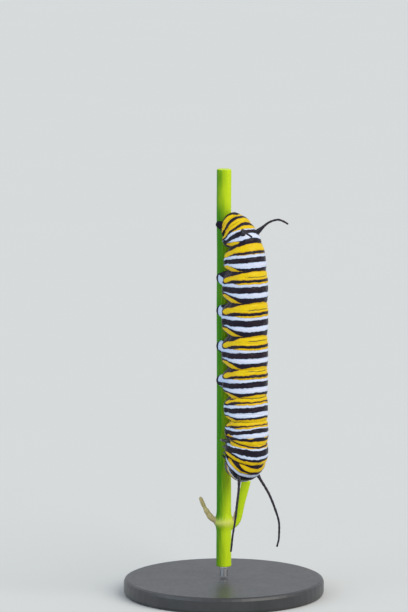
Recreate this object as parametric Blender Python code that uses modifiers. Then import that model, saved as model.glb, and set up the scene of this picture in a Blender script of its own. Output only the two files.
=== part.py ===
"""A fifth-instar monarch larva at life size, head down on a cut length of milkweed stem.

Frame: +Z up along the stem, +X from the stem to the larva's back, +Y to the larva's left.
The origin is the centre of the stand's underside, on the stem's axis. Units are metres.
"""

import math

import bmesh
import bpy
from mathutils import Matrix, Vector

MM = 0.001
GAP = 0.3 * MM

# The larva's body. Stations are the joints between its rings, from the neck to the tail's tip.
BODY_RADIUS = 3.39 * MM
RING_NAMES = ["thorax_1", "thorax_2", "thorax_3"] + [f"abdomen_{n}" for n in range(1, 11)]
# Each station: mm out from the stem's axis, mm above the floor, lean of the back in degrees,
# half-depth of the back and half-depth of the belly as shares of BODY_RADIUS.
STATIONS = (
    (2.95, 19.85, -84.0, 0.54, 0.40),
    (4.20, 20.12, -60.0, 0.78, 0.50),
    (5.16, 21.62, -22.0, 0.96, 0.80),
    (5.34, 23.95, -5.0, 0.97, 0.93),
    (5.22, 27.10, 1.0, 1.00, 0.97),
    (5.10, 30.70, 1.0, 1.00, 0.97),
    (5.07, 34.95, 0.0, 1.00, 0.97),
    (5.07, 39.75, 0.0, 1.00, 0.97),
    (5.07, 44.70, 0.0, 1.00, 0.97),
    (5.00, 49.28, 4.0, 0.96, 0.91),
    (4.52, 52.90, 18.0, 0.86, 0.72),
    (3.05, 55.02, 44.0, 0.73, 0.61),
    (2.20, 55.75, 62.0, 0.60, 0.44),
    (1.62, 56.15, 78.0, 0.49, 0.27),
)
BELLY_SQUARENESS = 0.93
BACK_FOLD = 0.045
BELLY_FOLD = 0.24
FOLD_WIDTH = 0.15
FOLD_GROWS_FROM = math.radians(50)
FOLD_GROWS_TO = math.radians(125)
RING_SHARES = (0.12, 0.28, 0.5, 0.72, 0.88)
RING_SIDES = 28
TAIL_BULGE = 0.2 * MM

# The head capsule, in its own frame: front, back of the head, left.
HEAD_REACH = 1.22 * MM
HEAD_HALF_HEIGHT = 1.60 * MM
HEAD_HALF_WIDTH = 1.66 * MM
HEAD_FORWARD = 0.34 * MM
CROWN_GROOVE = 0.07
EYE_RADIUS = 0.11 * MM
EYE_ARC_RADIUS = 0.30 * MM
EYE_MIDDLE = Vector((0.62, 0.74, -0.42))
LIP_RADIUS = 0.30 * MM
LIP_PLACE = Vector((0.80, 0, -1.24)) * MM
LIP_TURN = 0.5
FACE_PLATE_RADIUS = 0.50 * MM
FACE_PLATE_PLACE = Vector((0.92, 0, -0.62)) * MM
FACE_PLATE_TURN = 0.35
MANDIBLE_RADIUS = 0.34 * MM
MANDIBLE_PLACE = Vector((0.62, 0.30, -1.34)) * MM
ANTENNA_ROOT = Vector((0.72, 0.78, -0.98)) * MM
ANTENNA_AIM = Vector((0.30, 0.62, -0.72))
ANTENNA_LENGTH = 1.05 * MM
ANTENNA_RADIUS = 0.26 * MM
ANTENNA_SHARES = (0, 0.6, 0.66, 0.85, 0.9, 1.0)
ANTENNA_PROFILE = (1, 1, 0.75, 0.7, 0.45, 0.35)
HEAD_SIDES = 28
HEAD_RINGS = 16

# The fleshy filaments on the second thoracic ring and the eighth abdominal ring.
# Every path below is in mm, in the model's frame.
FILAMENT_RADIUS = 0.26 * MM
FILAMENT_TIP_RADIUS = 0.18 * MM
FILAMENT_STEPS = 16
FILAMENT_PATHS = {
    "front_right": (
        (5.8, -1.65, 19.2),
        (6.3, -2.1, 18.2),
        (6.5, -2.45, 16.2),
        (6.7, -3.2, 12.4),
        (6.65, -4.0, 8.0),
    ),
    "front_left": (
        (5.8, 1.5, 19.2),
        (6.45, 1.8, 18.1),
        (7.4, 2.85, 15.6),
        (8.2, 3.85, 12.0),
        (8.1, 4.0, 9.4),
        (7.85, 3.9, 8.0),
    ),
    "rear_right": (
        (5.9, -1.2, 54.8),
        (6.4, -1.6, 55.35),
        (7.4, -2.35, 55.8),
        (8.4, -3.0, 55.8),
        (9.3, -3.15, 55.5),
        (10.0, -2.85, 55.05),
    ),
    "rear_left": (
        (5.9, 1.2, 54.8),
        (6.5, 1.55, 55.4),
        (7.4, 2.5, 56.5),
        (8.3, 3.4, 56.95),
        (9.0, 4.0, 56.75),
        (9.5, 4.4, 56.4),
    ),
}

# The six true legs: how thick each is from its root to its claw, and the left ones' paths.
LEG_RADIUS = 0.30 * MM
LEG_PROFILE = (1.15, 1.2, 1.0, 0.84, 0.98, 0.86, 0.72, 0.8, 0.5, 0.22)
LEG_PATHS = (
    ((3.3, 0.75, 20.70), (2.75, 1.00, 21.45), (2.1, 1.20, 21.75), (1.25, 1.15, 21.80)),
    ((3.6, 0.95, 22.20), (2.75, 1.20, 22.55), (2.1, 1.35, 22.70), (1.20, 1.25, 22.68)),
    ((3.6, 1.15, 23.60), (2.75, 1.50, 23.70), (2.0, 1.70, 23.75), (0.95, 1.50, 23.70)),
)

# The false legs. Each one's ring by its own number, and where along that ring it stands.
# Sizes are (share of the way from root to foot, half-height, half-width) in mm.
PROLEG_SIDES = 14
PROLEG_PLACES = ((3, 0.48), (4, 0.60), (5, 0.675), (6, 0.70))
PROLEG_ROOT = (3.7, 1.75)
PROLEG_FOOT = (0.62, 1.68)
PROLEG_SIZES = (
    (0.0, 1.30, 0.85),
    (0.35, 1.22, 0.80),
    (0.65, 0.95, 0.58),
    (0.85, 0.76, 0.42),
    (1.0, 0.66, 0.36),
)
TAIL_PROLEG_ROOT = (2.7, 0.9, 55.2)
TAIL_PROLEG_FOOT = (0.35, 1.72, 56.05)
TAIL_PROLEG_SIZES = ((0.0, 0.9, 0.70), (0.4, 0.84, 0.66), (0.7, 0.70, 0.50), (1.0, 0.52, 0.36))

# The cut stem and the stand.
STEM_RADIUS = 1.08 * MM
STEM_BOTTOM = 4.2 * MM
STEM_TOP = 64.0 * MM
STEM_SIDES = 24
STEM_RING_HEIGHTS = (4.2, 7.2, 9.18, 10.08, 10.62, 11.16, 11.88, 12.78, 24.0, 36.0, 48.0, 64.0)
JOINT_HEIGHT = 10.98 * MM
JOINT_SWELL = 0.30 * MM
JOINT_REACH = 0.9 * MM
STALK_PATH = ((0.3, 0.5, 9.7), (1.1, 1.75, 11.0), (1.45, 2.25, 14.0), (1.7, 2.95, 17.15))
STALK_RADII = (0.36, 0.38, 0.40, 0.44, 0.48, 0.54, 0.60, 0.66, 0.70)
STUB_PATH = ((-0.3, -0.4, 10.75), (-1.1, -1.5, 11.55), (-1.9, -2.2, 13.15), (-2.3, -2.6, 14.45))
STUB_RADII = (0.44, 0.42, 0.38, 0.33, 0.30, 0.28, 0.26)
BASE_RADIUS = 15.0 * MM
BASE_THICKNESS = 2.4 * MM
ROD_RADIUS = 0.6 * MM

COLOURS = {
    "skin_banded": ((0.78, 0.55, 0.05, 1.0), 0.45, 0.0),
    "skin_black": ((0.02, 0.02, 0.03, 1.0), 0.40, 0.0),
    "head_shell": ((0.05, 0.05, 0.05, 1.0), 0.25, 0.0),
    "stem_green": ((0.35, 0.55, 0.05, 1.0), 0.45, 0.0),
    "stand_paint": ((0.03, 0.03, 0.03, 1.0), 0.45, 0.0),
    "stand_steel": ((0.62, 0.62, 0.62, 1.0), 0.30, 1.0),
}


def clear_scene():
    for old in list(bpy.data.objects):
        bpy.data.objects.remove(old)


def make_materials():
    made = {}
    for name, (colour, roughness, metallic) in COLOURS.items():
        material = bpy.data.materials.new(name)
        material.use_nodes = True
        shader = material.node_tree.nodes["Principled BSDF"]
        shader.inputs["Base Color"].default_value = colour
        shader.inputs["Roughness"].default_value = roughness
        shader.inputs["Metallic"].default_value = metallic
        made[name] = material
    return made


def make_collection(name):
    collection = bpy.data.collections.new(name)
    bpy.context.scene.collection.children.link(collection)
    return collection


def smooth_step(low, high, value):
    share = min(1.0, max(0.0, (value - low) / (high - low)))
    return share * share * (3 - 2 * share)


def mesh_object(name, mesh):
    obj = bpy.data.objects.new(name, mesh)
    bpy.context.scene.collection.objects.link(obj)
    return obj


def paint(obj, material):
    """Gives the whole mesh one material."""
    obj.data.materials.clear()
    obj.data.materials.append(material)
    obj.data.polygons.foreach_set("material_index", [0] * len(obj.data.polygons))
    return obj


def loft(name, rings, tip=None):
    """A closed body through rings of equal count. It ends in a flat cap, or a fan to its tip."""
    shape = bmesh.new()
    rows = [[shape.verts.new(point) for point in ring] for ring in rings]
    sides = range(len(rings[0]))
    for low, high in zip(rows, rows[1:]):
        for i in sides:
            j = i - 1
            shape.faces.new((low[i], low[j], high[j], high[i]))
    shape.faces.new(rows[0])
    if tip is None:
        shape.faces.new(rows[-1])
    else:
        point = shape.verts.new(tip)
        for i in sides:
            shape.faces.new((rows[-1][i], rows[-1][i - 1], point))
    bmesh.ops.recalc_face_normals(shape, faces=shape.faces)
    mesh = bpy.data.meshes.new(name)
    shape.to_mesh(mesh)
    shape.free()
    return mesh_object(name, mesh)


def settle(obj):
    """Turns the object's modifiers into its own mesh."""
    bpy.context.view_layer.update()
    graph = bpy.context.evaluated_depsgraph_get()
    mesh = bpy.data.meshes.new_from_object(obj.evaluated_get(graph))
    obj.modifiers.clear()
    obj.data = mesh


def enclosed_volume(verts):
    """Six times the volume that a closed surface holds."""
    faces = {face for vert in verts for face in vert.link_faces}
    total = 0.0
    for face in faces:
        first, *others = [vert.co for vert in face.verts]
        for low, high in zip(others, others[1:]):
            total += first.dot(low.cross(high))
    return total


def keep_largest(obj):
    """Drops all but the largest connected surface of the mesh."""
    shape = bmesh.new()
    shape.from_mesh(obj.data)
    shape.verts.ensure_lookup_table()
    unseen = set(shape.verts)
    groups = []
    while unseen:
        front = [unseen.pop()]
        group = set(front)
        while front:
            for edge in front.pop().link_edges:
                for vert in edge.verts:
                    if vert in unseen:
                        unseen.discard(vert)
                        group.add(vert)
                        front.append(vert)
        groups.append(group)
    groups.sort(key=enclosed_volume)
    for group in groups[:-1]:
        bmesh.ops.delete(shape, geom=list(group), context="VERTS")
    shape.to_mesh(obj.data)
    shape.free()


def fuse(obj, pieces):
    """One Boolean union of the object with closed mesh pieces, which are then removed."""
    group = bpy.data.collections.new(obj.name + "_pieces")
    bpy.context.scene.collection.children.link(group)
    for piece in pieces:
        group.objects.link(piece)
    union = obj.modifiers.new("union", "BOOLEAN")
    union.operation = "UNION"
    union.operand_type = "COLLECTION"
    union.collection = group
    settle(obj)
    for piece in pieces:
        bpy.data.objects.remove(piece)
    bpy.data.collections.remove(group)
    keep_largest(obj)


def carve(obj, cutters, solver="EXACT"):
    """Cuts the object clear of its neighbours, so that it meets them across the gap."""
    for cutter in cutters:
        cut = obj.modifiers.new("cut", "BOOLEAN")
        cut.operation = "DIFFERENCE"
        cut.solver = solver
        cut.object = cutter
    settle(obj)
    keep_largest(obj)


def between(column, along):
    """The stations' values of one column, carried smoothly between them."""
    last = len(STATIONS) - 1
    low = min(int(along), last - 1)
    share = along - low
    value = [STATIONS[min(max(low + step, 0), last)][column] for step in (-1, 0, 1, 2)]
    rise_low = (value[2] - value[0]) / (2 if low else 1)
    rise_high = (value[3] - value[1]) / (2 if low < last - 1 else 1)
    square, cube = share * share, share**3
    return (
        value[1] * (2 * cube - 3 * square + 1)
        + rise_low * (cube - 2 * square + share)
        + value[2] * (3 * square - 2 * cube)
        + rise_high * (cube - square)
    )


def spine(along):
    """(centre, towards the back, towards the tail) of the body at a place counted in rings."""
    centre = Vector((between(0, along), 0, between(1, along))) * MM
    lean = math.radians(between(2, along))
    back = Vector((math.cos(lean), 0, math.sin(lean)))
    tailward = Vector((-math.sin(lean), 0, math.cos(lean)))
    return centre, back, tailward


def skin_point(along, around, lift=0.0, shift=0.0):
    """A point of the body's skin. around is 0 on the back and grows to the larva's left."""
    centre, back, tailward = spine(along)
    nearest = abs(along - round(along))
    crease = math.exp(-((nearest / FOLD_WIDTH) ** 2))
    turn = abs(math.remainder(around, 2 * math.pi))
    depth = BACK_FOLD + (BELLY_FOLD - BACK_FOLD) * smooth_step(FOLD_GROWS_FROM, FOLD_GROWS_TO, turn)
    shrink = 1 - depth * crease
    up, out = math.cos(around), math.sin(around)
    height = between(3, along)
    width = height
    if up < 0:
        height = between(4, along)
        up = -((-up) ** BELLY_SQUARENESS)
        out = math.copysign(abs(out) ** BELLY_SQUARENESS, out)
    reach_up = up * (BODY_RADIUS * height * shrink + lift)
    reach_out = out * (BODY_RADIUS * width * shrink + lift)
    return centre + back * reach_up + Vector((0, reach_out, 0)) + tailward * shift


def skin_ring(along, lift=0.0, shift=0.0, sides=RING_SIDES):
    return [skin_point(along, 2 * math.pi * i / sides, lift, shift) for i in range(sides)]


def make_body_ring(index):
    """One ring of the body between two of its joints, with flat end faces half a gap away."""
    rings = [skin_ring(index, shift=GAP / 2)]
    rings += [skin_ring(index + share) for share in RING_SHARES]
    last = index + 1 == len(RING_NAMES)
    if not last:
        rings.append(skin_ring(index + 1, shift=-GAP / 2))
        return loft(RING_NAMES[index], rings)
    rings.append(skin_ring(index + 1))
    centre, _, tailward = spine(index + 1)
    return loft(RING_NAMES[index], rings, tip=centre + tailward * TAIL_BULGE)


def make_body_cutter():
    """The whole body grown by the gap, which cuts the roots of what grows from it."""
    rings = [skin_ring(0, lift=GAP, shift=-GAP / 2)]
    for index in range(len(RING_NAMES)):
        rings += [skin_ring(index + share, lift=GAP) for share in (*RING_SHARES, 1.0)]
    centre, _, tailward = spine(len(RING_NAMES))
    cutter = loft("body_cutter", rings, tip=centre + tailward * (TAIL_BULGE + GAP))
    return hide_helper(cutter)


def hide_helper(obj):
    obj.hide_render = True
    obj.display_type = "WIRE"
    return obj


def make_stem_cutter():
    radius = STEM_RADIUS + GAP
    height = STEM_TOP - STEM_BOTTOM
    bpy.ops.mesh.primitive_cylinder_add(
        vertices=36, radius=radius, depth=height, location=(0, 0, STEM_BOTTOM + height / 2)
    )
    cutter = bpy.context.object
    cutter.name = "stem_cutter"
    return hide_helper(cutter)


def mirrored(point, side):
    """A point of the left side, or its twin on the right where side is -1."""
    return Vector((point[0], side * point[1], point[2]))


def head_frame():
    """The head's matrix: x to its front, y to its left, z to its crown."""
    centre, back, tailward = spine(0)
    front = -tailward
    left = Vector((0, 1, 0))
    matrix = Matrix((front, left, back)).transposed().to_4x4()
    matrix.translation = centre + front * HEAD_FORWARD
    return matrix


def capsule_point(direction):
    """Where a direction from the head's centre meets the capsule, in the head's own frame."""
    radii = Vector((HEAD_REACH, HEAD_HALF_WIDTH, HEAD_HALF_HEIGHT))
    scale = 1 / math.sqrt(sum((d / r) ** 2 for d, r in zip(direction, radii)))
    point = direction * scale
    groove = math.exp(-((point.y / (0.3 * MM)) ** 2)) * smooth_step(-0.2, 0.6, point.z / radii.z)
    return point * (1 - CROWN_GROOVE * groove)


def ball(name, radius, place, stretch=(1, 1, 1), segments=10, rings=6):
    bpy.ops.mesh.primitive_uv_sphere_add(segments=segments, ring_count=rings, radius=radius)
    obj = bpy.context.object
    obj.name = name
    obj.data.transform(Matrix.Diagonal((*stretch, 1)))
    obj.data.transform(place)
    return obj


def eye_places():
    """The six simple eyes of one side: five on an arc and one in its opening."""
    middle = EYE_MIDDLE.normalized()
    across = middle.cross(Vector((0, 0, 1))).normalized()
    upward = across.cross(middle)
    centre = capsule_point(middle)
    turns = [math.radians(-100 + 50 * i) for i in range(5)]
    spots = [across * math.sin(turn) + upward * math.cos(turn) for turn in turns]
    spots.append(-upward * 0.9)
    for spot in spots:
        yield capsule_point((centre + spot * EYE_ARC_RADIUS).normalized())


def make_head(frame, cutters):
    """The capsule with its two lobes, face plate, upper lip, mandibles and simple eyes."""
    head = ball("head", 1.0, Matrix.Identity(4), segments=HEAD_SIDES, rings=HEAD_RINGS)
    head.data.transform(Matrix.Rotation(math.pi / 2, 4, "Y"))
    for vert in head.data.vertices:
        vert.co = capsule_point(vert.co.normalized())
    pieces = []
    for side in (-1, 1):
        for place in eye_places():
            spot = mirrored(place, side)
            bpy.ops.mesh.primitive_ico_sphere_add(subdivisions=1, radius=EYE_RADIUS, location=spot)
            pieces.append(bpy.context.object)
        jaw = Matrix.Translation(mirrored(MANDIBLE_PLACE, side))
        pieces.append(ball("mandible", MANDIBLE_RADIUS, jaw, (0.8, 0.8, 1.0)))
    lip = Matrix.Translation(LIP_PLACE) @ Matrix.Rotation(LIP_TURN, 4, "Y")
    pieces.append(ball("lip", LIP_RADIUS, lip, (0.62, 1.5, 1.0)))
    plate = Matrix.Translation(FACE_PLATE_PLACE) @ Matrix.Rotation(FACE_PLATE_TURN, 4, "Y")
    pieces.append(ball("face_plate", FACE_PLATE_RADIUS, plate, (0.36, 0.95, 1.1), 12, 8))
    fuse(head, pieces)
    head.data.transform(frame)
    carve(head, cutters)
    return head


def make_head_cutter(frame):
    """The capsule grown by the gap, which cuts the roots of the antennae."""
    cutter = ball("head_cutter", 1.0, Matrix.Identity(4), segments=HEAD_SIDES, rings=HEAD_RINGS)
    for vert in cutter.data.vertices:
        direction = vert.co.normalized()
        vert.co = capsule_point(direction) + direction * GAP
    cutter.data.transform(frame)
    return hide_helper(cutter)


def make_antenna(name, side, frame, cutters):
    """A short antenna of three narrowing joints, beside the jaws."""
    root = mirrored(ANTENNA_ROOT, side)
    tip = root + mirrored(ANTENNA_AIM, side).normalized() * ANTENNA_LENGTH
    radii = [ANTENNA_RADIUS * share for share in ANTENNA_PROFILE]
    points = [frame @ root.lerp(tip, share) for share in ANTENNA_SHARES]
    antenna = tapered_tube(name, points, radii)
    carve(antenna, cutters)
    return antenna


def tapered_tube(name, points, radii, resolution=2):
    """A smooth round tube through points, as a mesh, with its own radius at each of them."""
    curve = bpy.data.curves.new(name, "CURVE")
    curve.dimensions = "3D"
    curve.bevel_depth = 1.0
    curve.bevel_resolution = resolution
    curve.use_fill_caps = True
    spline = curve.splines.new("POLY")
    spline.points.add(len(points) - 1)
    for knot, point, radius in zip(spline.points, points, radii):
        knot.co = (*point, 1)
        knot.radius = radius
    holder = bpy.data.objects.new(name + "_path", curve)
    bpy.context.scene.collection.objects.link(holder)
    bpy.context.view_layer.update()
    graph = bpy.context.evaluated_depsgraph_get()
    mesh = bpy.data.meshes.new_from_object(holder.evaluated_get(graph))
    bpy.data.objects.remove(holder)
    shape = bmesh.new()
    shape.from_mesh(mesh)
    bmesh.ops.remove_doubles(shape, verts=shape.verts, dist=0.01 * MM)
    bmesh.ops.recalc_face_normals(shape, faces=shape.faces)
    shape.to_mesh(mesh)
    shape.free()
    return mesh_object(name, mesh)


def smooth_path(knots, steps):
    """Points evenly spread on a Catmull-Rom curve through the knots."""
    knots = [Vector(knot) for knot in knots]
    first = knots[0] * 2 - knots[1]
    last = knots[-1] * 2 - knots[-2]
    ends = [first, *knots, last]
    points = []
    for step in range(steps + 1):
        place = step / steps * (len(knots) - 1)
        low = min(int(place), len(knots) - 2)
        t = place - low
        a, b, c, d = ends[low : low + 4]
        slope = c - a
        bend = 2 * a - 5 * b + 4 * c - d
        twist = 3 * b - 3 * c + d - a
        points.append(b + 0.5 * (slope * t + bend * t**2 + twist * t**3))
    return points


def make_filament(name, knots, cutters):
    """A soft filament that leaves the skin at its first knot and narrows to a blunt tip."""
    points = smooth_path([Vector(knot) * MM for knot in knots], FILAMENT_STEPS)
    narrowing = (FILAMENT_TIP_RADIUS - FILAMENT_RADIUS) / FILAMENT_STEPS
    radii = [FILAMENT_RADIUS + narrowing * step for step in range(FILAMENT_STEPS + 1)]
    radii[-1] *= 0.5
    filament = tapered_tube(name, points, radii)
    carve(filament, cutters, solver="MANIFOLD")
    return filament


def make_leg(name, knots, cutters):
    """A jointed true leg: three swollen joints and a claw."""
    points = smooth_path([Vector(knot) * MM for knot in knots], len(LEG_PROFILE) - 1)
    leg = tapered_tube(name, points, [LEG_RADIUS * share for share in LEG_PROFILE])
    carve(leg, cutters, solver="MANIFOLD")
    return leg


def make_proleg(name, root, foot, sizes, cutters):
    """A stout false leg, from inside the belly to the stem: an oval that narrows to its sole."""
    root, foot = Vector(root) * MM, Vector(foot) * MM
    axis = (foot - root).normalized()
    tall = (Vector((0, 0, 1)) - axis * axis.z).normalized()
    wide = axis.cross(tall)
    rings = []
    for share, half_height, half_width in sizes:
        centre = root.lerp(foot, share)
        ring = []
        for i in range(PROLEG_SIDES):
            turn = 2 * math.pi * i / PROLEG_SIDES
            up = tall * math.cos(turn) * half_height * MM
            ring.append(centre + up + wide * math.sin(turn) * half_width * MM)
        rings.append(ring)
    proleg = loft(name, rings)
    carve(proleg, cutters, solver="MANIFOLD")
    return proleg


def make_stem():
    """The cut stem with its leaf joint, one leaf stalk cut short and one withered stub."""
    turns = [2 * math.pi * i / STEM_SIDES for i in range(STEM_SIDES)]
    rings = []
    for height in (mark * MM for mark in STEM_RING_HEIGHTS):
        swell = JOINT_SWELL * math.exp(-(((height - JOINT_HEIGHT) / JOINT_REACH) ** 2))
        radius = STEM_RADIUS + swell
        rings.append([(radius * math.cos(a), radius * math.sin(a), height) for a in turns])
    stem = loft("perch_stem", rings)
    stalk = smooth_path([Vector(p) * MM for p in STALK_PATH], len(STALK_RADII) - 1)
    stub = smooth_path([Vector(p) * MM for p in STUB_PATH], len(STUB_RADII) - 1)
    pieces = [
        tapered_tube("stalk", stalk, [radius * MM for radius in STALK_RADII], resolution=3),
        tapered_tube("stub", stub, [radius * MM for radius in STUB_RADII]),
    ]
    fuse(stem, pieces)
    return stem


def make_stand():
    """A flat round base with a softened rim, and a short rod that carries the stem."""
    bpy.ops.mesh.primitive_cylinder_add(
        vertices=64, radius=BASE_RADIUS, depth=BASE_THICKNESS, location=(0, 0, BASE_THICKNESS / 2)
    )
    base = bpy.context.object
    base.name = "stand_base"
    rim = base.modifiers.new("rim", "BEVEL")
    rim.width = 0.5 * MM
    rim.segments = 2
    rim.limit_method = "ANGLE"
    low, high = BASE_THICKNESS + GAP, STEM_BOTTOM - GAP
    bpy.ops.mesh.primitive_cylinder_add(
        vertices=20, radius=ROD_RADIUS, depth=high - low, location=(0, 0, (low + high) / 2)
    )
    rod = bpy.context.object
    rod.name = "stand_rod"
    return base, rod


def make_limbs(cutters):
    """(object, material name) of every leg, false leg and filament, on both sides."""
    made = []
    for side, name in ((-1, "right"), (1, "left")):
        for number, path in enumerate(LEG_PATHS, 1):
            knots = [mirrored(point, side) for point in path]
            made.append((make_leg(f"leg_{number}_{name}", knots, cutters), "skin_black"))
        for ring, share in PROLEG_PLACES:
            height = spine(RING_NAMES.index(f"abdomen_{ring}") + share)[0].z / MM
            root = mirrored((*PROLEG_ROOT, height), side)
            foot = mirrored((*PROLEG_FOOT, height), side)
            proleg = make_proleg(f"proleg_{ring}_{name}", root, foot, PROLEG_SIZES, cutters)
            made.append((proleg, "skin_banded"))
        root = mirrored(TAIL_PROLEG_ROOT, side)
        foot = mirrored(TAIL_PROLEG_FOOT, side)
        proleg = make_proleg(f"proleg_tail_{name}", root, foot, TAIL_PROLEG_SIZES, cutters)
        made.append((proleg, "skin_black"))
        for end in ("front", "rear"):
            path = FILAMENT_PATHS[f"{end}_{name}"]
            made.append((make_filament(f"filament_{end}_{name}", path, cutters), "skin_black"))
    return made


def make_head_parts(body_cutter, stem_cutter, head_cutter, frame):
    made = [(make_head(frame, (body_cutter, stem_cutter)), "head_shell")]
    for side, name in ((-1, "right"), (1, "left")):
        antenna = make_antenna(f"antenna_{name}", side, frame, (head_cutter, body_cutter, stem_cutter))
        made.append((antenna, "head_shell"))
    return made


def move_to(collection, obj):
    for old in list(obj.users_collection):
        old.objects.unlink(obj)
    collection.objects.link(obj)


def main():
    clear_scene()
    materials = make_materials()
    larva = make_collection("monarch_larva")
    helpers = make_collection("cutters")
    frame = head_frame()
    body_cutter = make_body_cutter()
    stem_cutter = make_stem_cutter()
    head_cutter = make_head_cutter(frame)
    made = [(make_body_ring(index), "skin_banded") for index in range(len(RING_NAMES))]
    made += make_head_parts(body_cutter, stem_cutter, head_cutter, frame)
    made += make_limbs((body_cutter, stem_cutter))
    made.append((make_stem(), "stem_green"))
    made += zip(make_stand(), ("stand_paint", "stand_steel"))
    for obj, material in made:
        paint(obj, materials[material])
        obj.data.shade_smooth()
        obj.data.set_sharp_from_angle(angle=math.radians(50))
        move_to(larva, obj)
    for helper in (body_cutter, stem_cutter, head_cutter):
        move_to(helpers, helper)


main()
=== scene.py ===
"""The looks of a life-size monarch larva, head down on a cut stem that a small stand holds.

Lengths in this file are in millimetres until a mesh is made, and then in metres.
"""

import math

import bpy
import numpy as np
from bpy.props import FloatProperty, FloatVectorProperty, PointerProperty
from mathutils import Matrix, Vector


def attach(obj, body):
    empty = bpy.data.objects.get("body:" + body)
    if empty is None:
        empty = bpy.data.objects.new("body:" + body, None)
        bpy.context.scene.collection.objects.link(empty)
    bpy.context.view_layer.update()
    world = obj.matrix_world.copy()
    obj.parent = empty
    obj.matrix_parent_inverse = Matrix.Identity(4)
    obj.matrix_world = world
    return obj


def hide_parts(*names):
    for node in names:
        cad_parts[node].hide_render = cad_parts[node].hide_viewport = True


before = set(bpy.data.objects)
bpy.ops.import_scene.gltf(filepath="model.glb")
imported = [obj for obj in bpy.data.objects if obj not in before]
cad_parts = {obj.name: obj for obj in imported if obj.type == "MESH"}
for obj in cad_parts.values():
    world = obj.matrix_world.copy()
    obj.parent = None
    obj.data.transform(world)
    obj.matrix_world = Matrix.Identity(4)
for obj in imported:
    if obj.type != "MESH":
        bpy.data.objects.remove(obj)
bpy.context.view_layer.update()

bl_info = {
    "name": "Monarch larva model",
    "version": (1, 0, 0),
    "blender": (4, 5, 0),
    "location": "3D View > Sidebar > Larva",
    "description": "Builds the skin, head, limbs, perch and stand of a still, life-size larva",
    "category": "Add Mesh",
}

MM = 0.001
UP = np.array((0.0, 0.0, 1.0))
# Bends of the rows that round off a tube's end.
CAP_BENDS = np.radians((30, 52, 68, 80, 87))

# The body's rings from the neck to the tail: three of the thorax, ten of the abdomen.
BODY_RADIUS = 3.39
RINGS = 13
# Each station is a joint between rings: mm out from the stem's axis, mm above the floor,
# lean of the back in degrees, half-depth of the back and of the belly in body radii.
STATIONS = np.array((
    (2.95, 19.85, -84.0, 0.54, 0.40),
    (4.20, 20.12, -60.0, 0.78, 0.50),
    (5.16, 21.62, -22.0, 0.96, 0.80),
    (5.36, 23.95, -5.0, 0.96, 0.80),
    (5.27, 27.10, 1.0, 0.97, 0.74),
    (5.13, 30.70, 1.0, 0.98, 0.84),
    (5.07, 34.95, 0.0, 1.00, 0.97),
    (5.07, 39.75, 0.0, 1.00, 0.97),
    (5.07, 44.70, 0.0, 1.00, 0.97),
    (5.00, 49.28, 4.0, 0.96, 0.85),
    (4.52, 52.90, 18.0, 0.86, 0.62),
    (3.05, 55.02, 44.0, 0.73, 0.61),
    (2.20, 55.75, 62.0, 0.60, 0.44),
    (1.62, 56.15, 78.0, 0.49, 0.27),
))
BELLY_SQUARENESS = 0.93
# The fold at each joint: its depth on the back and on the belly in body radii, its width in rings,
# and the angles from the middle of the back between which it deepens.
BACK_FOLD = 0.045
BELLY_FOLD = 0.24
FOLD_WIDTH = 0.15
FOLD_GROWS = (math.radians(50), math.radians(125))
# The skin's points round the body, and the mm between its rows.
SKIN_SIDES = 320
SKIN_STEP = 0.072

# Shallow folds across each ring of the abdomen: share of the ring, share of the fold depth.
RING_FOLDS = ((0.17, 0.7), (0.34, 1.0), (0.52, 1.0), (0.68, 0.9), (0.83, 1.2))
RING_FOLD_WIDTH = 0.026
# Where folds and creases fade in and out, counted in rings.
ABDOMEN_BEGINS = (2.9, 3.2)
ABDOMEN_ENDS = (10.6, 11.2)
CREASES_BEGIN = (0.5, 1.2)
CREASES_END = (11.5, 12.2)
# Depth of the creases between rings in mm, and their width in rings.
JOINT_CREASE = 0.09
JOINT_CREASE_WIDTH = 0.028
# The swelling and the furrow along each side: height or depth in mm, then the angle from the
# middle of the back and the width in degrees.
SIDE_SWELLING = (0.16, 113, 13)
SIDE_FURROW = (0.07, 94, 6)
# The breathing pores: their rings, angle, share of the ring, half-sizes and relief.
PORE_RINGS = (0, *range(3, 11))
PORE_ANGLE = 101
PORE_PLACE = 0.44
PORE_HALF = (0.30, 0.19)
PORE_RIM = 0.05
PORE_DEPTH = 0.09
# Layers of noise: height in mm, lengthwise squeeze, size of a lump in mm, seed.
FINE_RELIEF = ((0.020, 1.8, 1.3, 5), (0.007, 2.2, 0.45, 6))
EDGE_WANDER = ((0.035, 0.25, 1.8, 21), (0.02, 0.4, 0.55, 22))
# The even tube that the skin's noise is laid on: its radius and the length of a ring.
EVEN_RADIUS = 3.3
EVEN_RING = 4.2
# The rounded caps at the neck and the tail: the bends of their rows, reach in mm, bluntness.
NECK_BENDS = np.radians((88, 78, 66, 52, 36, 18))
TAIL_BENDS = np.radians((12, 24, 36, 47, 57, 66, 74, 81, 87))
NECK_CAP = (0.12, 0.7)
TAIL_CAP = (0.24, 0.75)
# The least and the greatest length of a ring in mm, where marks are measured.
RING_LENGTHS = (0.8, 7.0)
# How a band's edges round off, in degrees, and how fast it closes past its last angle.
EDGE_ROUNDING = 6.0
END_FADE = 0.02

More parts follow.
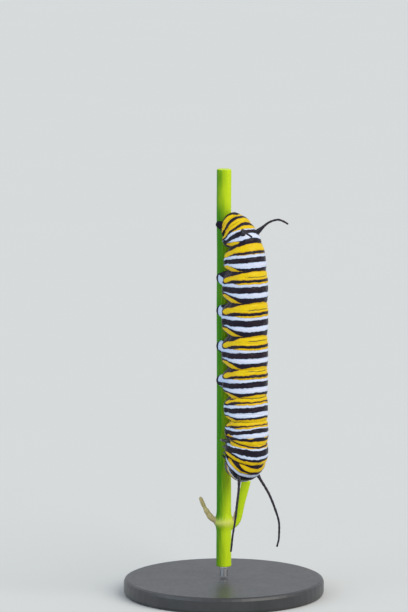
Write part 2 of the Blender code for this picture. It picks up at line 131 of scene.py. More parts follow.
# Paths of the four filaments, and below them paths and places of the left side's legs.
FILAMENTS = {
    "front_right": (
        (5.8, -1.65, 19.2), (6.3, -2.1, 18.2), (6.5, -2.45, 16.2), (6.7, -3.2, 12.4),
        (6.65, -4.0, 8.0),
    ),
    "front_left": (
        (5.8, 1.5, 19.2), (6.45, 1.8, 18.1), (7.4, 2.85, 15.6), (8.2, 3.85, 12.0),
        (8.1, 4.0, 9.4), (7.85, 3.9, 8.0),
    ),
    "rear_right": (
        (5.9, -1.2, 54.8), (6.4, -1.6, 55.35), (7.4, -2.35, 55.8), (8.4, -3.0, 55.8),
        (9.3, -3.15, 55.5), (10.0, -2.85, 55.05),
    ),
    "rear_left": (
        (5.9, 1.2, 54.8), (6.5, 1.55, 55.4), (7.4, 2.5, 56.5), (8.3, 3.4, 56.95),
        (9.0, 4.0, 56.75), (9.5, 4.4, 56.4),
    ),
}
LEGS = (
    ((3.3, 0.75, 20.70), (2.75, 1.00, 21.45), (2.1, 1.20, 21.75), (1.25, 1.15, 21.80)),
    ((3.6, 0.95, 22.20), (2.75, 1.20, 22.55), (2.1, 1.35, 22.70), (1.20, 1.25, 22.68)),
    ((3.6, 1.15, 23.60), (2.75, 1.50, 23.70), (2.0, 1.70, 23.75), (0.95, 1.50, 23.70)),
)
# The false legs: places in rings, root and foot as mm out from the stem and to the left, half-sizes.
PROLEG_PLACES = (5.48, 6.60, 7.675, 8.70)
PROLEG_ROOT = (3.7, 1.75)
PROLEG_FOOT = (0.62, 1.62)
PROLEG_HALF = (1.30, 0.85)
TAIL_PROLEG_ROOT = (2.7, 0.9, 55.2)
TAIL_PROLEG_FOOT = (0.35, 1.66, 56.05)
TAIL_PROLEG_HALF = (0.90, 0.70)
# Beyond this share of its reach a false leg is a black foot.
FOOT_STARTS = 0.74
LEG_ROOT_HALF = (0.55, 0.50)
# The skin's sockets that the filaments stand in.
SOCKET_HALF = (0.42, 0.42)
SOCKET_RISE = 0.10
# The cone that the skin is drawn out into: its height at growing distances from its axis, how
# steeply it falls past them, how far out and how deep it moves the skin, and how soft its foot is.
CONE_PLACES = (0, 0.42, 0.52, 0.62, 0.76, 0.95, 1.1)
CONE_HEIGHTS = (1.0, 0.985, 0.93, 0.80, 0.60, 0.30, 0.0)
CONE_FALL = 8
CONE_EDGE = 1.35
CONE_DEPTH = 0.4
CONE_BLEND = 0.16
# Skin further than this above the cone's wall isn't counted as part of the limb.
CONE_MARGIN = 0.3
FILAMENT_STEPS = 260
# A filament's swollen root: how much wider it is in mm, and how soon that fades.
FRONT_SWELL = 0.12
REAR_SWELL = 0.26
SWELL_LENGTH = 1.15
# A true leg's joints: start and end as shares of its path, and the radii there in mm.
LEG_JOINTS = (
    (0.0, 0.30, 0.36, 0.32),
    (0.27, 0.58, 0.31, 0.27),
    (0.55, 0.80, 0.26, 0.20),
    (0.77, 0.93, 0.19, 0.13),
)
LEG_STEPS = 90
LEG_SLIMNESS = 0.92
CLAW_START = 0.90
CLAW_RADIUS = 0.105
CLAW_DROP = 0.10

# The marks. Each band has its angles from the middle of the back in degrees, then its starts and
# its ends there, counted in rings from the neck. It closes where its end is below its start.
ANGLES = (15, 53, 66, 80, 94, 106, 120, 135)
RING_EDGES = {
    "leaf": (
        (0.05, 0.04, 0.04, 0.05, 0.07, 0.16, 0.26, 0.26),
        (0.02, 0.055, 0.13, 0.22, 0.27, 0.28, 0.22, 0.20),
    ),
    "rear_white": (
        (0.19, 0.20, 0.23, 0.28, 0.31, 0.335, 0.36, 0.36),
        (0.34, 0.34, 0.34, 0.34, 0.36, 0.35, 0.33, 0.33),
    ),
    "front_white": (
        (0.53, 0.53, 0.53, 0.53, 0.53, 0.53, 0.51, 0.49),
        (0.61, 0.615, 0.635, 0.64, 0.62, 0.60, 0.66, 0.70),
    ),
    "thin_yellow": (
        (0.61, 0.615, 0.635, 0.64, 0.64, 0.64, 0.64, 0.64),
        (0.665, 0.665, 0.645, 0.61, 0.60, 0.60, 0.60, 0.60),
    ),
    "yellow": (
        (0.755, 0.76, 0.765, 0.74, 0.66, 0.65, 0.88, 0.90),
        (1.05, 0.99, 0.925, 0.885, 0.87, 0.82, 0.58, 0.50),
    ),
}
# How far each ring's edges lie from those above, first on the back and then at the side.
RING_SHIFTS = {
    4: (
        (0, 0.04, 0.09, 0.13, 0.14, 0.155, 0.12, 0.075),
        (-0.04, -0.04, 0.04, 0.06, 0.08, 0.10, 0.10, 0.04),
    ),
    5: ((0, 0.03, 0.07, 0.08, 0.08, 0.08, 0.08, 0.05), (-0.07, -0.05, 0.01, 0.02, 0.05, 0.07, 0.04, 0.03)),
    6: ((0, 0.03, 0.03, 0.02, 0.015, 0.015, 0.02, 0.01), (-0.01, -0.01, 0.01, 0, 0.01, 0.03, 0, -0.01)),
    7: ((0, 0, 0, 0, 0, 0, 0, 0), (0, 0, 0, 0, 0, 0, 0, 0)),
    8: ((0, 0, 0, 0, 0, 0, 0, -0.03), (0, 0, 0, 0, 0, 0, 0, -0.01)),
    9: (
        (0, -0.06, -0.03, -0.04, -0.03, -0.065, -0.06, -0.08),
        (0, -0.06, -0.03, -0.04, -0.03, -0.06, -0.08, -0.04),
    ),
}
# The columns of RING_SHIFTS that hold the shifts of each band's starts and ends.
SHIFT_COLUMNS = {
    "leaf": (0, 0),
    "rear_white": (1, 2),
    "front_white": (3, 4),
    "thin_yellow": (4, 5),
    "yellow": (6, 7),
}
SHIFT_TURNS = (30.0, 80.0)
YELLOW_BANDS = (
    # front of the body
    ((0, 60, 100, 125), (0.14, 0.12, 0.10, 0.16), (0.30, 0.28, 0.22, 0.12)),
    ((0, 35, 60, 95, 120), (0.86, 0.86, 0.66, 0.50, 0.66), (0.84, 0.86, 0.86, 0.80, 0.60)),
    ((0, 32, 51, 69, 86, 110), (1.66, 1.62, 1.60, 1.67, 1.77, 1.95), (1.63, 1.67, 1.73, 1.87, 1.97, 1.85)),
    ((0, 19, 34, 47, 58), (1.72, 1.74, 1.78, 1.88, 2.06), (1.88, 1.93, 1.98, 2.05, 2.02)),
    (
        (0, 22, 40, 58, 80, 98, 118),
        (2.09, 2.07, 2.08, 2.10, 2.12, 2.20, 2.36),
        (2.23, 2.24, 2.24, 2.26, 2.42, 2.46, 2.32),
    ),
    (
        (0, 12, 36, 55, 78, 100, 120),
        (2.86, 2.86, 2.85, 2.88, 2.90, 2.93, 3.05),
        (2.87, 2.89, 2.92, 2.98, 3.08, 3.12, 2.99),
    ),
    ((0, 22, 39, 56, 70, 84), (2.95, 2.97, 3.00, 3.07, 3.12, 3.20), (3.18, 3.18, 3.19, 3.21, 3.22, 3.16)),
    ((0, 22, 44, 64, 82), (3.78, 3.76, 3.74, 3.73, 3.74), (3.85, 3.83, 3.82, 3.78, 3.70)),
    ((0, 28, 54, 85, 104, 122), (3.89, 3.88, 3.88, 3.83, 3.76, 3.86), (4.13, 4.13, 4.12, 4.05, 3.96, 3.80)),
    ((74, 84, 98, 112), (3.37, 3.34, 3.34, 3.42), (3.36, 3.42, 3.46, 3.41)),
    ((14, 22, 33, 40), (3.33, 3.31, 3.31, 3.33), (3.32, 3.35, 3.35, 3.32)),
    # rear of the body
    ((0, 16, 34, 50, 64), (10.555, 10.565, 10.58, 10.61, 10.63), (10.72, 10.73, 10.69, 10.66, 10.62)),
    (
        (0, 13, 30, 46, 67, 90, 112, 126, 136),
        (10.93, 10.90, 10.85, 10.78, 10.75, 10.63, 10.66, 10.78, 10.92),
        (11.27, 11.26, 11.25, 11.19, 11.07, 11.06, 11.10, 11.04, 10.9),
    ),
    (
        (0, 9, 25, 38, 50, 68, 84, 104, 124),
        (11.56, 11.58, 11.66, 11.66, 11.55, 11.36, 11.16, 11.30, 11.7),
        (11.85, 12.02, 12.22, 12.45, 12.52, 12.52, 12.45, 12.2, 11.6),
    ),
    (
        (40, 50, 62, 78, 92, 106),
        (10.16, 10.05, 10.02, 10.03, 10.13, 10.26),
        (10.08, 10.12, 10.18, 10.20, 10.24, 10.2),
    ),
)
WHITE_BANDS = (
    # front of the body
    ((0, 60, 100, 125), (0.55, 0.50, 0.40, 0.46), (0.64, 0.58, 0.46, 0.42)),
    ((0, 35, 60, 90, 120), (0.86, 0.86, 0.86, 0.80, 0.85), (0.97, 0.96, 0.92, 0.90, 0.80)),
    (
        (0, 32, 54, 69, 86, 105, 125),
        (1.44, 1.45, 1.44, 1.46, 1.44, 1.52, 1.70),
        (1.60, 1.60, 1.60, 1.67, 1.76, 1.80, 1.66),
    ),
    ((0, 16, 36, 53, 64, 78), (2.37, 2.36, 2.36, 2.36, 2.42, 2.53), (2.50, 2.49, 2.50, 2.51, 2.54, 2.52)),
    (
        (0, 12, 36, 60, 85, 110, 128),
        (2.78, 2.78, 2.82, 2.83, 2.84, 2.80, 2.88),
        (2.87, 2.87, 2.86, 2.88, 2.90, 2.92, 2.84),
    ),
    ((0, 22, 40, 60, 74, 86), (3.35, 3.34, 3.34, 3.33, 3.35, 3.41), (3.55, 3.53, 3.53, 3.49, 3.45, 3.40)),
    (
        (0, 22, 44, 64, 82, 100, 125),
        (3.74, 3.71, 3.68, 3.64, 3.63, 3.62, 3.70),
        (3.79, 3.77, 3.76, 3.74, 3.74, 3.74, 3.66),
    ),
    # rear of the body
    (
        (0, 13, 30, 45, 62, 80, 94),
        (10.18, 10.17, 10.14, 10.14, 10.15, 10.24, 10.30),
        (10.37, 10.36, 10.33, 10.30, 10.28, 10.28, 10.26),
    ),
    (
        (0, 16, 34, 50, 68, 88, 110, 125),
        (10.51, 10.525, 10.52, 10.52, 10.47, 10.43, 10.46, 10.50),
        (10.555, 10.57, 10.60, 10.64, 10.62, 10.53, 10.50, 10.46),
    ),
)
# The pale outer faces of the false legs.
FACE_ANGLES = (121, 128, 135, 150, 160)
FACE_EDGES = (
    ((5.56, 5.50, 5.48, 5.48, 5.56), (5.55, 5.62, 5.70, 5.70, 5.54)),
    ((6.60, 6.52, 6.50, 6.50, 6.66), (6.59, 6.70, 6.79, 6.80, 6.62)),
    ((7.61, 7.52, 7.50, 7.50, 7.68), (7.60, 7.74, 7.85, 7.88, 7.64)),
    ((8.62, 8.52, 8.50, 8.50, 8.70), (8.61, 8.76, 8.89, 8.92, 8.66)),
)
# Thin dark lines where the skin folds inside the yellow: partly dark pigment and partly painted fold
# shadow.
CREASE_PIGMENT_AND_SHADOW_BANDS = (
    ((0, 20, 54, 80, 100), (3.99, 4.02, 4.035, 3.99, 3.99), (3.99, 4.035, 4.06, 4.02, 3.97)),
    ((0, 20, 53, 66), (4.975, 4.99, 5.01, 5.02), (5.0, 5.02, 5.04, 5.0)),
    ((0, 24, 45), (5.93, 5.94, 5.96), (5.95, 5.965, 5.95)),
    ((0, 24, 42), (6.895, 6.89, 6.90), (6.92, 6.915, 6.89)),
    ((0, 26, 44), (7.82, 7.815, 7.83), (7.84, 7.84, 7.82)),
    ((0, 28, 46), (8.82, 8.82, 8.84), (8.84, 8.845, 8.83)),
    ((0, 20, 44, 66, 80), (11.05, 11.04, 11.0, 10.92, 10.9), (11.04, 11.05, 11.02, 10.93, 10.89)),
)

# The head capsule in its own frame: x to its front, y to its left, z to its crown.
HEAD_RADII = (1.22, 1.66, 1.60)
HEAD_FORWARD = 0.34
CROWN_GROOVE = 0.07
EYE_ARC_RADIUS = 0.30
EYE_ARC_TURNS = np.radians((-100, -50, 0, 50, 100))
EYE_MIDDLE = (0.62, 0.74, -0.42)
ANTENNA_ROOT = (0.72, 0.78, -0.98)
ANTENNA_AIM = (0.30, 0.62, -0.72)
# The antenna's joints: start and end along it, and the radii there.
ANTENNA_JOINTS = ((0.1, 0.5, 0.20, 0.18), (0.48, 0.84, 0.145, 0.13), (0.82, 1.0, 0.085, 0.07))
BRISTLE_BEND = (0.2, 0.3, 0.4)
BRISTLE_LENGTH = 0.35
# The mouth, with one side's jaw and feeler: places and radii.
LIP_LOBES = (
    ((0.84, 0.14, -1.24), (0.16, 0.26, 0.27)),
    ((0.84, -0.14, -1.24), (0.16, 0.26, 0.27)),
    ((0.95, 0, -0.98), (0.14, 0.46, 0.16)),
)
LIP_TILT = 0.5
JAW_PLACE = (0.66, 0.28, -1.36)
JAW_RADII = (0.26, 0.25, 0.33)
JAW_TEETH = 4
FIRST_TOOTH = np.array((0.86, 0.06, -1.56))
TOOTH_SPACING = np.array((0.0, 0.08, 0.03))
TOOTH_RADII = (0.06, 0.05, 0.09)
FEELER_PATH = ((0.42, 0.45, -1.25), (0.52, 0.52, -1.55), (0.66, 0.48, -1.72))
FEELER_RADII = (0.17, 0.17, 0.12, 0.13, 0.08, 0.07)
# The forked seam and the stripes on the head's front.
SEAM_FORK = 0.42
SEAM_SPREAD = 0.58
SEAM_DEPTH = 0.055
PLATE_HEIGHT = 0.05
OUTER_STRIPE = 1.12
INNER_STRIPE = 0.17

# The cut stem with its leaf joint, leaf stalk and stub.
STEM_RADIUS = 1.08
# What lies within this many mm of the stem's surface counts as the stem.
STEM_MARGIN = 0.45
STEM_BOTTOM = 4.2
STEM_TOP = 64.0
JOINT_HEIGHT = 10.98
JOINT_SWELL = 0.30
JOINT_HALF = 0.85
FOOT_SWELL = 0.05
# Heights between which the swollen foot of the stem fades out.
FOOT_ENDS = (8.0, 12.0)
STEM_RIDGES = 14
RIDGE_HEIGHT = 0.008
STEM_VOXEL = 0.085
STEM_SMOOTHING = 9
# Heights between which the stem comes out of the larva's painted shadow, below and above the larva.
LARVA_SHADOW_BELOW = (20.0, 9.0)
LARVA_SHADOW_ABOVE = (56.0, 60.0)
CRACK_COLOUR = (0.16, 0.07, 0.02, 1)
# The side from which the stem is painted lighter, as if the sun fell on it from there.
PAINTED_SUNLIT_SIDE = (0.55, 0.83, 0.0)
STALK_PATH = ((0.3, 0.5, 9.7), (1.1, 1.75, 11.0), (1.45, 2.25, 14.0), (1.7, 2.95, 17.15))
STALK_RADII = (0.36, 0.38, 0.40, 0.44, 0.48, 0.54, 0.60, 0.66, 0.70)
STUB_PATH = ((-0.3, -0.4, 10.75), (-1.1, -1.5, 11.55), (-1.9, -2.2, 13.15), (-2.3, -2.6, 14.45))
STUB_RADII = (0.44, 0.43, 0.41, 0.40, 0.39, 0.37, 0.30)
# Two withered scales at the leaf joint.
SCALE_PATHS = (
    ((0.80, 0.95, 10.6), (0.98, 1.18, 11.6), (0.94, 1.22, 12.6)),
    ((-0.80, -0.95, 10.6), (-1.02, -1.12, 11.2), (-1.15, -1.05, 11.7)),
)
SCALE_RADII = (0.22, 0.20, 0.15, 0.07)

# The second colours of the stand's two finishes, of the floor and of the eyes.
PAINT_SHADE = (0.045, 0.045, 0.048, 1)
STEEL_SHADE = (0.40, 0.40, 0.41, 1)
FLOOR_SHADE = (0.5, 0.5, 0.5, 1)
EYE_COLOURS = ((0.012, 0.007, 0.004, 1), (0.03, 0.015, 0.006, 1))

# The photo's camera: mm from the stem's axis to its left, mm above the floor, mm away.
CAMERA_LEFT = 2.97
CAMERA_HEIGHT = 43.53
CAMERA_DISTANCE = 600.0
# The picture's rows, and how many mm each covers at the stem.
PICTURE_ROWS = 612
ROW_HEIGHT = 0.1485
SENSOR = 24.0
# Where the light comes from: to the camera's right, towards it, and up.
KEY_SOURCE = np.array((0.62, 0.50, 0.65))
KEY_COLOUR = (1.0, 0.96, 0.89)
FILL_SOURCE = np.array((-0.85, 0.55, 0.35))
FILL_COLOUR = (0.66, 0.84, 1.0)
SKY_COLOUR = (0.90, 0.94, 1.0, 1)
SKY_STRENGTH = 0.72
LIGHT_SPREAD = math.radians(50)
FLOOR_RADIUS = 9.0


def colour_property(name, description, colour):
    colour = (*colour, 1)
    return FloatVectorProperty(
        name=name, description=description, subtype="COLOR", size=4, min=0, max=1, default=colour
    )


def number_property(name, description, value, **limits):
    return FloatProperty(name=name, description=description, default=value, **limits)


def length_property(name, description, millimetres):
    limits = {"min": 0, "unit": "LENGTH", "subtype": "DISTANCE"}
    return number_property(name, description, millimetres * MM, **limits)


def angle_property(name, description, degrees):
    return number_property(name, description, math.radians(degrees), subtype="ANGLE")


class SkinSettings(bpy.types.PropertyGroup):
    """Colours and folds of the larva's skin."""

    yellow: colour_property("Yellow", "The wide bands between the rings", (0.71, 0.52, 0.0))
    deep_yellow: colour_property("Deep yellow", "The yellow near its edges and in folds", (0.56, 0.25, 0.0))
    white: colour_property("White", "The pale bands", (0.63, 0.66, 0.80))
    # Shaded white is a painted-shade copy of the white: the pale bands get it at their rims, a little at
    # random, and most on the lower flanks.
    shaded_white: colour_property("Shaded white", "The pale bands near their edges", (0.36, 0.52, 0.74))
    black: colour_property("Black", "The dark bands", (0.007, 0.005, 0.015))
    brown: colour_property("Brown", "The warm tint in the dark bands", (0.026, 0.011, 0.015))
    fold_depth: length_property("Fold depth", "How deep the small folds across each ring are", 0.05)


class LimbSettings(bpy.types.PropertyGroup):
    """Sizes and colours of the filaments, legs and claws."""

    filament_radius: length_property("Filament radius", "Half the thickness of a filament's root", 0.21)
    filament_tip: length_property("Filament tip", "Half the thickness of a filament's tip", 0.14)
    leg_black: colour_property("Leg black", "The hard joints of the legs", (0.006, 0.005, 0.006))
    leg_joint: colour_property("Leg joint", "The soft skin between the legs' joints", (0.10, 0.075, 0.045))


class HeadSettings(bpy.types.PropertyGroup):
    """Sizes and colours of the head."""

    shell: colour_property("Shell", "The head's black", (0.007, 0.006, 0.007))
    stripe: colour_property("Stripe", "The head's yellow stripes", (0.74, 0.47, 0.02))
    mouth: colour_property("Mouth", "The jaws and lip", (0.045, 0.022, 0.010))
    eye_radius: length_property("Eye radius", "Half the width of a simple eye", 0.105)


class PerchSettings(bpy.types.PropertyGroup):
    """Colours of the stem."""

    # Both greens also carry painted light: the light green shows on the painted sunlit side and outside the
    # larva's painted shadow, the dark green on the shaded side and within that shadow.
    light: colour_property("Light green", "The ridges and the new growth", (0.49, 0.65, 0.01))
    dark: colour_property("Dark green", "The furrows and the old growth", (0.034, 0.21, 0.0))
    node: colour_property("Joint", "The pale ring at the leaf joint", (0.66, 0.66, 0.16))
    dry: colour_property("Dry", "The withered stub", (0.48, 0.42, 0.20))
    pith: colour_property("Pith", "The cut ends", (0.66, 0.72, 0.40))


class StandSettings(bpy.types.PropertyGroup):
    """Colours of the stand."""

    paint: colour_property("Paint", "The base's satin paint", (0.022, 0.022, 0.024))
    steel: colour_property("Steel", "The short rod", (0.56, 0.56, 0.57))


class StageSettings(bpy.types.PropertyGroup):
    """The floor, the lights and the camera."""

    floor: colour_property("Floor", "The plain pale floor", (0.60, 0.61, 0.60))
    azimuth: angle_property("Azimuth", "Turn of the camera round the stem", 52)
    elevation: angle_property("Elevation", "Height of the camera as an angle", 8)
    key_light: number_property("Key light", "Strength of the main light", 2.1, min=0)
    fill_light: number_property("Fill light", "Strength of the cool side light", 0.9, min=0)


class Signal:
    """One output of a finish's nodes, which Python's operators work on."""

    def __init__(self, finish, socket):
        self.finish = finish
        self.socket = socket

    def maths(self, operation, first, second):
        return self.finish.node("ShaderNodeMath", {"operation": operation}, {0: first, 1: second})

    def __add__(self, other):
        return self.maths("ADD", self, other)

    def __sub__(self, other):
        return self.maths("SUBTRACT", self, other)

    def __rsub__(self, other):
        return self.maths("SUBTRACT", other, self)

    def __mul__(self, other):
        return self.maths("MULTIPLY", self, other)

    __radd__ = __add__
    __rmul__ = __mul__


class Finish:
    """A material and the nodes that vary it over a surface."""

    def __init__(self, name, **constants):
        self.material = bpy.data.materials.new(name)
        self.material.use_nodes = True
        self.tree = self.material.node_tree
        self.shader = self.tree.nodes["Principled BSDF"]
        for socket, value in constants.items():
            self.shader.inputs[socket.replace("_", " ")].default_value = value

    def node(self, kind, settings=None, inputs=None, output=0):
        """Adds a node, sets it and its sockets, and gives back one of its outputs."""
        node = self.tree.nodes.new(kind)
        for name, value in (settings or {}).items():
            setattr(node, name, value)
        for key, value in (inputs or {}).items():
            if isinstance(value, Signal):
                self.tree.links.new(value.socket, node.inputs[key])
            else:
                node.inputs[key].default_value = value
        return Signal(self, node.outputs[output])

    def feed(self, socket, signal):
        self.tree.links.new(signal.socket, self.shader.inputs[socket])

    def field(self, name, output="Fac"):
        """What the mesh carries at each of its points: a number, or a place as output Vector."""
        return self.node("ShaderNodeAttribute", {"attribute_name": name}, output=output)

    def place(self):
        """The mesh's own points, in mm."""
        return self.stretch(self.node("ShaderNodeTexCoord", output="Object"), (1 / MM,) * 3)

    def stretch(self, vector, factors):
        return self.node("ShaderNodeVectorMath", {"operation": "MULTIPLY"}, {0: vector, 1: factors})

    def noise(self, vector, scale, detail=3.0, rough=0.55):
        """Soft noise about 0, from about -0.5 to 0.5. Scale counts its lumps in a millimetre."""
        sockets = {"Vector": vector, "Scale": scale, "Detail": detail, "Roughness": rough}
        return self.node("ShaderNodeTexNoise", None, sockets) - 0.5

    def cells(self, vector, scale):
        """Distance to the nearest of many scattered points."""
        return self.node("ShaderNodeTexVoronoi", None, {"Vector": vector, "Scale": scale})

    def step(self, value, low, high):
        """Rises smoothly from 0 to 1 while the value goes from low to high."""
        sockets = {"Value": value, "From Min": low, "From Max": high}
        return self.node("ShaderNodeMapRange", {"interpolation_type": "SMOOTHSTEP"}, sockets)

    def mix(self, share, first, second, blend="MIX"):
        settings = {"data_type": "RGBA", "blend_type": blend, "clamp_factor": True}
        return self.node("ShaderNodeMix", settings, {0: share, 6: first, 7: second}, output=2)

    def bump(self, height, distance):
        """Raises the surface by the height times a distance in mm."""
        sockets = {"Height": height, "Distance": distance * MM}
        self.feed("Normal", self.node("ShaderNodeBump", None, sockets))


def smooth_step(low, high, value):
    """Rises smoothly from 0 at low to 1 at high."""
    share = np.clip((value - low) / (high - low), 0, 1)
    return share * share * (3 - 2 * share)


def full_turn(count):
    """Angles evenly spread round a circle."""
    return np.linspace(0, 2 * math.pi, count, endpoint=False)


def on_circle(turn, radius, height):
    """Points at a turn and a radius round the z axis."""
    parts = np.broadcast_arrays(np.cos(turn) * radius, np.sin(turn) * radius, height)
    return np.stack(parts, axis=-1)


def hump(value, middle, width):
    """A bell that is 1 at its middle."""
    return np.exp(-(((value - middle) / width) ** 2))


def unit(vector):
    vector = np.asarray(vector, float)
    return vector / np.linalg.norm(vector, axis=-1, keepdims=True)


def ripple(points, size, seed):
    """Smooth noise of about unit strength at points, with lumps of about the given size in mm."""
    draw = np.random.default_rng(seed)
    total = np.zeros(points.shape[:-1])
    waves = 14
    for _ in range(waves):
        direction = unit(draw.normal(size=3)) * (2 * math.pi / size) * draw.uniform(0.6, 1.4)
        total += np.sin(points @ direction + draw.uniform(0, 2 * math.pi))
    return total / math.sqrt(waves)


def ripple_layers(points, layers):
    """The sum of layers of noise, each with its height, squeeze, size and seed."""
    return sum(
        height * ripple(points * (1, 1, squeeze), size, seed) for height, squeeze, size, seed in layers
    )


def on_curve(knots, place):
    """Rows of a Catmull-Rom curve through rows of knots, at places counted in knots."""
    knots = np.asarray(knots, float)
    ends = np.vstack((knots[0] * 2 - knots[1], knots, knots[-1] * 2 - knots[-2]))
    low = np.minimum(place.astype(int), len(knots) - 2)
    t = (place - low)[..., None]
    a, b, c, d = (ends[low + step] for step in range(4))
    slope = c - a
    bend = 2 * a - 5 * b + 4 * c - d
    twist = 3 * b - 3 * c + d - a
    return b + 0.5 * (slope * t + bend * t**2 + twist * t**3)


def smooth_path(knots, steps):
    """Points spread over a curve through the knots."""
    return on_curve(knots, np.linspace(0, len(knots) - 1, steps + 1))


def along_path(values, path):
    """A short list of values carried evenly over a path's points."""
    return np.interp(np.linspace(0, 1, len(path)), np.linspace(0, 1, len(values)), values)


def travel(path):
    """The distance travelled along a path at each of its points."""
    return np.concatenate(((0,), np.cumsum(np.linalg.norm(np.diff(path, axis=0), axis=1))))


def path_frames(path):
    """Two directions across a path at each of its points, which turn with it and don't twist."""
    tangents = unit(np.gradient(path, axis=0))
    side = np.cross(tangents[0], (0.3, 0.5, 0.81))
    sides = []
    for tangent in tangents:
        side = unit(side - tangent * np.dot(side, tangent))
        sides.append(side)
    sides = np.array(sides)
    return tangents, sides, np.cross(tangents, sides)


def tube(path, radii, sides=24, round_first=False, round_last=True):
    """A shell of rows of points round a path, with its ends flat or rounded."""
    tangents, across, up = path_frames(path)
    turns = full_turn(sides)[None, :, None]
    circle = across[:, None] * np.cos(turns) + up[:, None] * np.sin(turns)
    radii = np.asarray(radii, float)

    def cap(end, outward):
        """The rows that round off one end, from the wall outwards."""
        middles = [path[end] + outward * radii[end] * math.sin(bend) for bend in CAP_BENDS]
        rings = [circle[end] * radii[end] * math.cos(bend) for bend in CAP_BENDS]
        return [middle + ring for middle, ring in zip(middles, rings)]

    rows = list(path[:, None] + circle * radii[:, None, None])
    if round_last:
        rows += cap(-1, tangents[-1])
    if round_first:
        rows = cap(0, -tangents[0])[::-1] + rows
    return np.array(rows)


def ball(centre, radii, turn=None, rows=14, sides=20):
    """A shell round a centre, with its poles along its own z axis."""
    bend = np.linspace(-math.pi / 2, math.pi / 2, rows + 2)[1:-1, None]
    shell = on_circle(full_turn(sides), np.cos(bend), np.sin(bend)) * radii
    if turn is not None:
        shell = shell @ np.array(turn).T
    return shell + centre


def shell_faces(rows, sides, start):
    """The faces of a closed shell whose first and last rows are each closed by one more point."""
    column = np.arange(sides)
    follow = (column + 1) % sides
    low = start + np.arange(rows - 1)[:, None] * sides
    quads = np.stack((low + column, low + follow, low + follow + sides, low + column + sides), axis=-1)
    first, last = start + rows * sides, start + rows * sides + 1
    top = start + (rows - 1) * sides
    faces = quads.reshape(-1, 4).tolist()
    faces += [(first, start + b, start + a) for a, b in zip(column.tolist(), follow.tolist())]
    faces += [(top + a, top + b, last) for a, b in zip(column.tolist(), follow.tolist())]
    return faces


def carried(values):
    """A shell's values in the order of its points: the rows, then its two end points."""
    flat = values.reshape(-1, *values.shape[2:])
    return np.concatenate((flat, values[0].mean(axis=0)[None], values[-1].mean(axis=0)[None]))


def add_mesh(name, shells, scale=MM):
    """One object from closed shells in mm."""
    points, faces, start = [], [], 0
    for shell in shells:
        faces += shell_faces(*shell.shape[:2], start)
        points.append(carried(shell))
        start += len(points[-1])
    mesh = bpy.data.meshes.new(name)
    mesh.from_pydata((np.concatenate(points) * scale).tolist(), [], faces)
    mesh.shade_smooth()
    obj = bpy.data.objects.new(name, mesh)
    bpy.context.scene.collection.objects.link(obj)
    return obj


def add_field(obj, name, values):
    """Stores a number or a place for each of the mesh's points, for its finish."""
    values = np.asarray(values, np.float32)
    kind, key = ("FLOAT", "value") if values.ndim == 1 else ("FLOAT_VECTOR", "vector")
    obj.data.attributes.new(name, kind, "POINT").data.foreach_set(key, values.ravel())


def finish_piece(obj, finish, slot, *nodes):
    """Gives the piece its finish, puts it under the root, and hides the parts of model.glb that it stands
    in for.
    """
    obj.data.materials.clear()
    obj.data.materials.append(finish.material)
    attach(obj, "root")
    if nodes:
        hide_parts(*nodes)


def spine(along):
    """The body at places counted in rings.

    Gives its centre, the directions to the back and to the tail, and its half-depths at the back
    and at the belly in body radii.
    """
    out, high, lean, half, belly_half = np.moveaxis(on_curve(STATIONS, along), -1, 0)
    zero = np.zeros_like(along)
    lean = np.radians(lean)
    centre = np.stack((out, zero, high), axis=-1)
    back = np.stack((np.cos(lean), zero, np.sin(lean)), axis=-1)
    tailward = np.stack((-np.sin(lean), zero, np.cos(lean)), axis=-1)
    return centre, back, tailward, half, belly_half


def skin_points(along, around, lift=0.0, shrink=1.0, shift=0.0):
    """Points of the skin. along counts rings, around is 0 on the back and grows to the left."""
    centre, back, tailward, half, belly_half = spine(along)
    crease = hump(along - np.round(along), 0, FOLD_WIDTH)
    depth = BACK_FOLD + (BELLY_FOLD - BACK_FOLD) * smooth_step(*FOLD_GROWS, np.abs(around))
    size = BODY_RADIUS * (1 - depth * crease)
    up, out = np.cos(around), np.sin(around)
    belly = up < 0
    height = np.where(belly, belly_half, half)
    up = np.where(belly, -(np.abs(up) ** BELLY_SQUARENESS), up)
    out = np.where(belly, np.sign(out) * np.abs(out) ** BELLY_SQUARENESS, out)
    reach_up = (up * (size * height + lift) * shrink)[..., None]
    points = centre + back * reach_up + tailward * np.asarray(shift)[..., None]
    points[..., 1] += out * (size * half + lift) * shrink
    return points


def mirrored(point, side):
    """A place of the left side, or for side -1 the same place of the right one."""
    return np.array((point[0], side * point[1], point[2]), float)


def skin_relief(along, around, straight, depth):
    """How far the skin stands proud of its plain form, in mm: folds, creases and swellings."""
    share = along - np.floor(along)
    turn = np.degrees(np.abs(around))
    abdomen = smooth_step(*ABDOMEN_BEGINS, along) * (1 - smooth_step(*ABDOMEN_ENDS, along))
    creased = smooth_step(*CREASES_BEGIN, along) * (1 - smooth_step(*CREASES_END, along))
    sway = 0.018 * ripple(straight * (1, 1, 0.3), 3.2, 11)
    lift = np.zeros_like(along)
    for place, fold in RING_FOLDS:
        strength = 0.75 + 0.45 * ripple(straight, 2.6, int(place * 100))
        lift -= fold * depth * strength * hump(share, place + sway, RING_FOLD_WIDTH) * abdomen
    lift -= JOINT_CREASE * hump(along - np.round(along), 0, JOINT_CREASE_WIDTH) * creased
    swelling, at, width = SIDE_SWELLING
    lift += swelling * hump(turn, at, width) * np.sin(math.pi * share) ** 2 * abdomen
    furrow, at, width = SIDE_FURROW
    lift -= furrow * hump(turn, at, width) * abdomen
    return lift + ripple_layers(straight, FINE_RELIEF)


def pore_distance(along, around, scale):
    """Distance from the nearest breathing pore's middle, in pore radii."""
    across = (np.abs(around) - math.radians(PORE_ANGLE)) * EVEN_RADIUS / PORE_HALF[0]
    nearest = np.full_like(along, 9.0)
    for ring in PORE_RINGS:
        lengthwise = (along - ring - PORE_PLACE) * scale / PORE_HALF[1]
        nearest = np.minimum(nearest, np.hypot(across, lengthwise))
    return nearest


